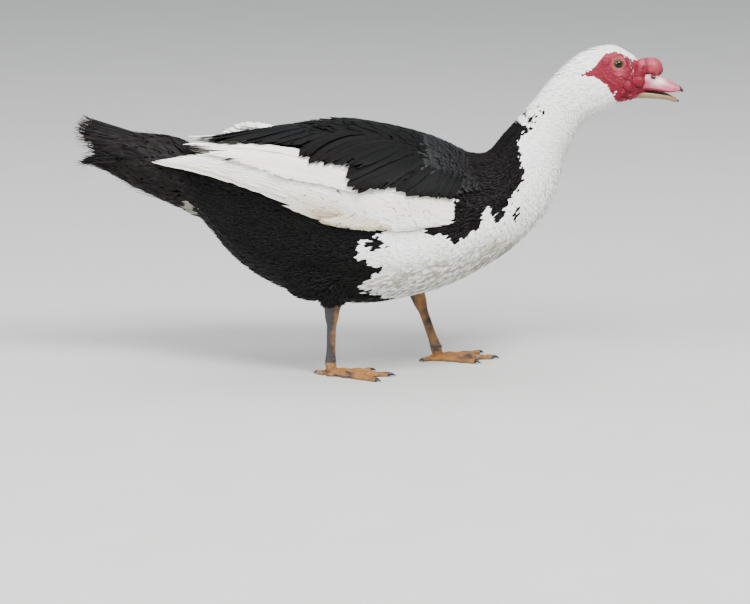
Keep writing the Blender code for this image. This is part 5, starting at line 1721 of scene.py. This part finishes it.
for half, is_upper in ((upper, True), (lower, False)):
    points, normals = points_of(half), normals_of(half)
    forward, out, up = np.moveaxis(points - HEAD, -1, 0)
    if is_upper:
        edge_up = np.interp(forward, [row[0] for row in UPPER_BILL], [row[2] for row in UPPER_BILL])
        edge = np.clip(blend(3.2, 0.8, up - edge_up) + (normals[:, 2] < -0.4), 0, 1) * blend(84, 78, forward)
        pale = np.maximum(spot(51.5, -25.6, 9, 6), 0.9 * spot(37, -16, 6, 4.5))
        middle = blend(10, 0, np.abs(out)) * blend(-30, -18, up) * (normals[:, 2] > 0.5)
        # Painted shade: the nostril's hole goes near black, and the top of the bill and the nostril's rim
        # are darkened a little
        deep = hole + 0.35 * middle + 0.3 * rim
        # The bill's lower side near its root is darkened towards the same dark red
        edge = np.clip(edge + 0.4 * blend(46, 34, forward) * blend(-22, -31, up), 0, 1)
    else:
        edge = blend(30, 18, forward) * 0.8 + (normals[:, 2] > 0.7) * 0.5 * (np.abs(out) < 8)
        pale = np.ones(len(forward))
        # Painted shade: where the lower bill's upper face lies under the upper bill, back from the tip, it
        # goes near black; its very tip is darkened too
        inner = (normals[:, 2] > 0.5) * (np.abs(out) < 10.5) * blend(70, 60, forward)
        deep = np.maximum(0.9 * blend(75.5, 77.5, forward), 0.9 * inner)
    paint(half, np.stack([*np.clip((pale, edge, deep), 0, 1), 0 * pale + is_upper], -1), "Horn")

# Leathery skin: a broad soft gloss, with blood showing through the pink
material, tree = new_material("bill skin over bone")
parts = add(tree, "Attribute", attribute_name="Horn")
split = add(tree, "SeparateColor", {0: parts})
pale, edge, deep = split.outputs
place = add(tree, "TexCoord").outputs["Object"]
mottle = add(tree, "TexNoise", {"Vector": place, "Scale": 160.0, "Detail": 4.0})
fine = add(tree, "TexNoise", {"Vector": place, "Scale": 1100.0, "Detail": 3.0})
pink = add(tree, "MixRGB", {0: mottle, 1: linear("#9b3d56"), 2: linear("#bd667d")})
cream = add(tree, "MixRGB", {0: mottle, 1: linear("#dcb9ae"), 2: linear("#ecd8cc")})
ivory = add(tree, "MixRGB", {0: mottle, 1: linear("#735e3c"), 2: linear("#988260")})
light = add(tree, "MixRGB", {0: parts.outputs["Alpha"], 1: ivory, 2: cream})
skin_colour = add(tree, "MixRGB", {0: pale, 1: pink, 2: light})
edged = add(tree, "MixRGB", {0: edge, 1: skin_colour, 2: linear("#9c2137")})
# Near black, mostly painted shade, in the nostril's hole and on the lower bill under the upper one
sunken = add(tree, "MixRGB", {0: deep, 1: edged, 2: linear("#0c0405")})
bump = add(tree, "Bump", {"Height": fine, "Strength": 0.25, "Distance": 0.0003})
finish_material(
    tree,
    {
        "Base Color": sunken,
        "Roughness": 0.38,
        "Normal": bump,
        "Subsurface Weight": 0.06,
        "Subsurface Radius": (0.003, 0.001, 0.0008),
        "Subsurface Scale": 0.5,
    },
)
for half, node in ((upper, "upper_bill"), (lower, "lower_bill")):
    half.data.materials.append(material)
    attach(half, "root")
    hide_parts(node)

# Worn keratin: nearly black, with a fine grain that breaks up its gloss
material, tree = new_material("black horn, worn smooth")
place = add(tree, "TexCoord").outputs["Object"]
grain = add(tree, "TexNoise", {"Vector": place, "Scale": 700.0, "Detail": 3.0})
horn = add(tree, "MixRGB", {0: grain, 1: linear("#0d0b0b"), 2: linear("#2b2523")})
bump = add(tree, "Bump", {"Height": grain, "Strength": 0.2, "Distance": 0.0003})
finish_material(tree, {"Base Color": horn, "Roughness": 0.32, "Normal": bump})
black_horn = material
nail.data.materials.append(black_horn)
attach(nail, "root")
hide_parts("bill_nail")

# Legs and feet. Scaly skin over bone: scutes down the front of the shank and the tops of the
# toes, small round scales elsewhere, thin creased webs between the toes, and black claws.
# The right leg stays behind and the left one has stepped ahead.
SHANK_RADII = (13.2, 10.4, 9.4, 8.6, 5.8, 5.6, 6.8)
BALL_RADII = (6.8, 7.4, 5.4)
SOLE_RADII = (8.5, 7.5, 4.2)
TOES = {
    # degrees outwards from straight ahead, length, radii at root and tip, claw length
    "middle": (0, 74, 5.0, 3.1, 12),
    "outer": (27, 68, 4.6, 2.9, 9),
    "inner": (-27, 55, 4.6, 2.9, 10),
    "hind": (-158, 19, 3.8, 2.6, 7),
}
TOE_JOINTS = 3
WEB_MIDDLE, WEB_HALF = 2.4, 0.75
LEG_VOXEL = 0.72
SCUTE_PITCH = 3.1


def toe_direction(name, angle):
    turn = math.radians(TOE_OUT[name] + angle) * SIDES[name]
    return np.array((math.cos(turn), math.sin(turn), 0))


def toe_line(name, toe):
    """A toe's centre line and radii, from the ball of the foot to the end of its last joint."""
    angle, length, thick, thin, _ = TOES[toe]
    t = np.linspace(0, 1, 26)
    radii = thick + (thin - thick) * t
    height = radii * 0.86 + 2.5 * (1 - t) ** 3
    line = np.array(ANKLES[name]) * (1, 1, 0) + toe_direction(name, angle) * (length * t)[:, None]
    line[:, 2] = height
    radii = radii + 0.6 * np.cos(TOE_JOINTS * math.tau * t)
    radii[0] = thick * 0.6
    return line, radii


def web_object(name, first, second):
    """The thin membrane between two toes, its front edge curved in."""
    ball = np.array(ANKLES[name]) * (1, 1, 0)
    ends = [toe_direction(name, TOES[toe][0]) * TOES[toe][1] * 0.95 for toe in (first, second)]
    across, along = np.meshgrid(np.linspace(0, 1, 25), np.linspace(0.04, 1, 30))
    reach = along * (1 - 0.62 * across * (1 - across))
    places = (ends[0] * (1 - across)[..., None] + ends[1] * across[..., None]) * reach[..., None] + ball
    fold = 0.5 * np.sin(across * math.pi * 6) * along * np.sin(across * math.pi)
    faces = [places.copy(), places.copy()]
    for face, share in zip(faces, (1, -1)):
        face[..., 2] = WEB_MIDDLE + fold * 0.6 + share * WEB_HALF
    return slab_object("web", *faces)


# Skin of legs and feet: dark slate over yellow ochre, blotched as on the real bird, and darker
# in the grooves between the scales
leg_material, tree = new_material("scaly leg skin, slate and ochre")
parts = add(tree, "Attribute", attribute_name="Scale")
split = add(tree, "SeparateColor", {0: parts})
ridge, _, shade = split.outputs
place = add(tree, "TexCoord").outputs["Object"]
blotch = add(tree, "TexNoise", {"Vector": place, "Scale": 55.0, "Detail": 5.0})
fine = add(tree, "TexNoise", {"Vector": place, "Scale": 900.0, "Detail": 3.0})
ochre = add(tree, "MixRGB", {0: blotch, 1: linear("#7d4a20"), 2: linear("#b98238")})
slate = add(tree, "MixRGB", {0: fine, 1: linear("#191719"), 2: linear("#312d30")})
dark_here = add(tree, "Math", {0: blotch, 1: shade}, operation="ADD")
darkness = add(tree, "MapRange", {0: dark_here, 1: 0.79, 2: 1.1})
skin_colour = add(tree, "MixRGB", {0: darkness, 1: ochre, 2: slate})
grooved = add(tree, "MapRange", {0: ridge, 1: 0.5, 2: 0.2, 3: 0.0, 4: 0.75})
grooves = add(tree, "MixRGB", {0: grooved, 1: skin_colour, 2: linear("#2a1a10")})
bump = add(tree, "Bump", {"Height": fine, "Strength": 0.3, "Distance": 0.0003})
finish_material(tree, {"Base Color": grooves, "Roughness": 0.5, "Normal": bump})

for name, side in SIDES.items():
    hock, ankle = np.array(HOCKS[name], float), np.array(ANKLES[name], float)
    axis = (ankle - hock) / np.linalg.norm(ankle - hock)
    low = ankle - axis
    above, over = (np.array(place) for place in thigh_line(name)[3:5])
    line = [above + (over - above) * 0.1, over, hock, hock + axis * 8]
    line += [hock + (low - hock) * 0.35, hock + (low - hock) * 0.75, low]
    parts = [tube_object("shank", smooth_tube(line, SHANK_RADII, 32, 40))]
    ball = [low - axis, low + axis * 5, np.array((ankle[0] + 3, ankle[1], 4.6))]
    parts.append(tube_object("ball", smooth_tube(ball, BALL_RADII, 32, 14)))
    parts.append(ellipsoid((ankle[0] + 2, ankle[1], 2.6), SOLE_RADII, 0, 32, 20))
    claws = []
    for toe, (angle, _, _, _, claw_length) in TOES.items():
        centres, radii = toe_line(name, toe)
        parts.append(tube_object("toe", tube_rings(centres, radii, 24)))
        t = np.linspace(0, 1, 16)[:, None]
        ahead = toe_direction(name, angle)
        start = centres[-1]
        claw = start + ahead * (claw_length * t - 1.2)
        claw[:, 2:] = np.maximum(start[2] + 1.4 * np.sin(math.pi * t) - (start[2] - 0.9) * t * t, 0.5)
        thin = (radii[-1] - 0.9) * (1 - t[:, 0]) ** 0.8 + 0.25
        claws.append(tube_object("claw", tube_rings(claw, thin, 20)))
    for toe in ("outer", "inner"):
        parts.append(web_object(name, "middle", toe))
    leg = join(parts, "leg_" + name)
    apply_modifier(leg, "REMESH", mode="VOXEL", voxel_size=LEG_VOXEL * MM)
    apply_modifier(leg, "SMOOTH", factor=0.5, iterations=2)

    points, normals = points_of(leg), normals_of(leg)
    rel = points - ankle
    along_shank = (points - hock) @ axis
    distance = np.hypot(rel[:, 0], rel[:, 1])
    turn = np.degrees(np.arctan2(rel[:, 1] * side, rel[:, 0])) - TOE_OUT[name]
    on_shank = blend(17, 22, points[:, 2])
    on_toe = np.zeros(len(points))
    for toe, (angle, length, thick, thin, _) in TOES.items():
        away = np.abs((turn - angle + 180) % 360 - 180)
        off = distance * np.sin(np.radians(np.minimum(away, 90)))
        on_toe = np.maximum(on_toe, blend(thick + 0.8, thick - 0.6, off))
    on_toe = np.clip(on_toe * (1 - on_shank) + blend(14, 8, distance) * (1 - on_shank), 0, 1)
    front = normals[:, 0] > 0.35
    saw = (along_shank / SCUTE_PITCH) % 1
    toe_saw = (distance / (SCUTE_PITCH * 0.85)) % 1
    scutes = on_shank * front * (0.55 * saw - 0.45 * (saw < 0.1))
    scutes += on_toe * (normals[:, 2] > 0.35) * (0.5 * toe_saw - 0.4 * (toe_saw < 0.12))
    grains = pebbles(points, 2.4, side * 3.0, 0.4)
    rest = 1 - np.clip(on_shank * front + on_toe * (normals[:, 2] > 0.35), 0, 1)
    on_web = (1 - on_toe) * (1 - on_shank)
    lift = scutes + grains * rest * (1 - 0.7 * on_web)
    points = points + normals * lift[:, None]
    points[:, 2] = np.maximum(points[:, 2], 0)
    move_points(leg, points)
    ridge = np.clip(0.5 + raised(leg, 4) / 0.6, 0, 1)
    # The right shank is more slate than the left, and more again on the side that faces back
    rear = 0.13 * (1 - 2 * blend(-0.6, 0.9, normals[:, 0]))
    shade = (0.6 + rear if name == "right" else 0.42) * on_shank + 0.4 * on_web + 0.42 * on_toe
    paint(leg, np.stack([ridge, on_web, shade, 0 * ridge], -1), "Scale")
    leg.data.materials.append(leg_material)
    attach(leg, "root")
    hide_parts("foot_" + name, "shank_" + name)

    claw_set = join(claws, "claws_" + name)
    claw_set.data.materials.append(black_horn)
    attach(claw_set, "root")
    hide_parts(*(f"claw_{name}_{toe}" for toe in TOES))
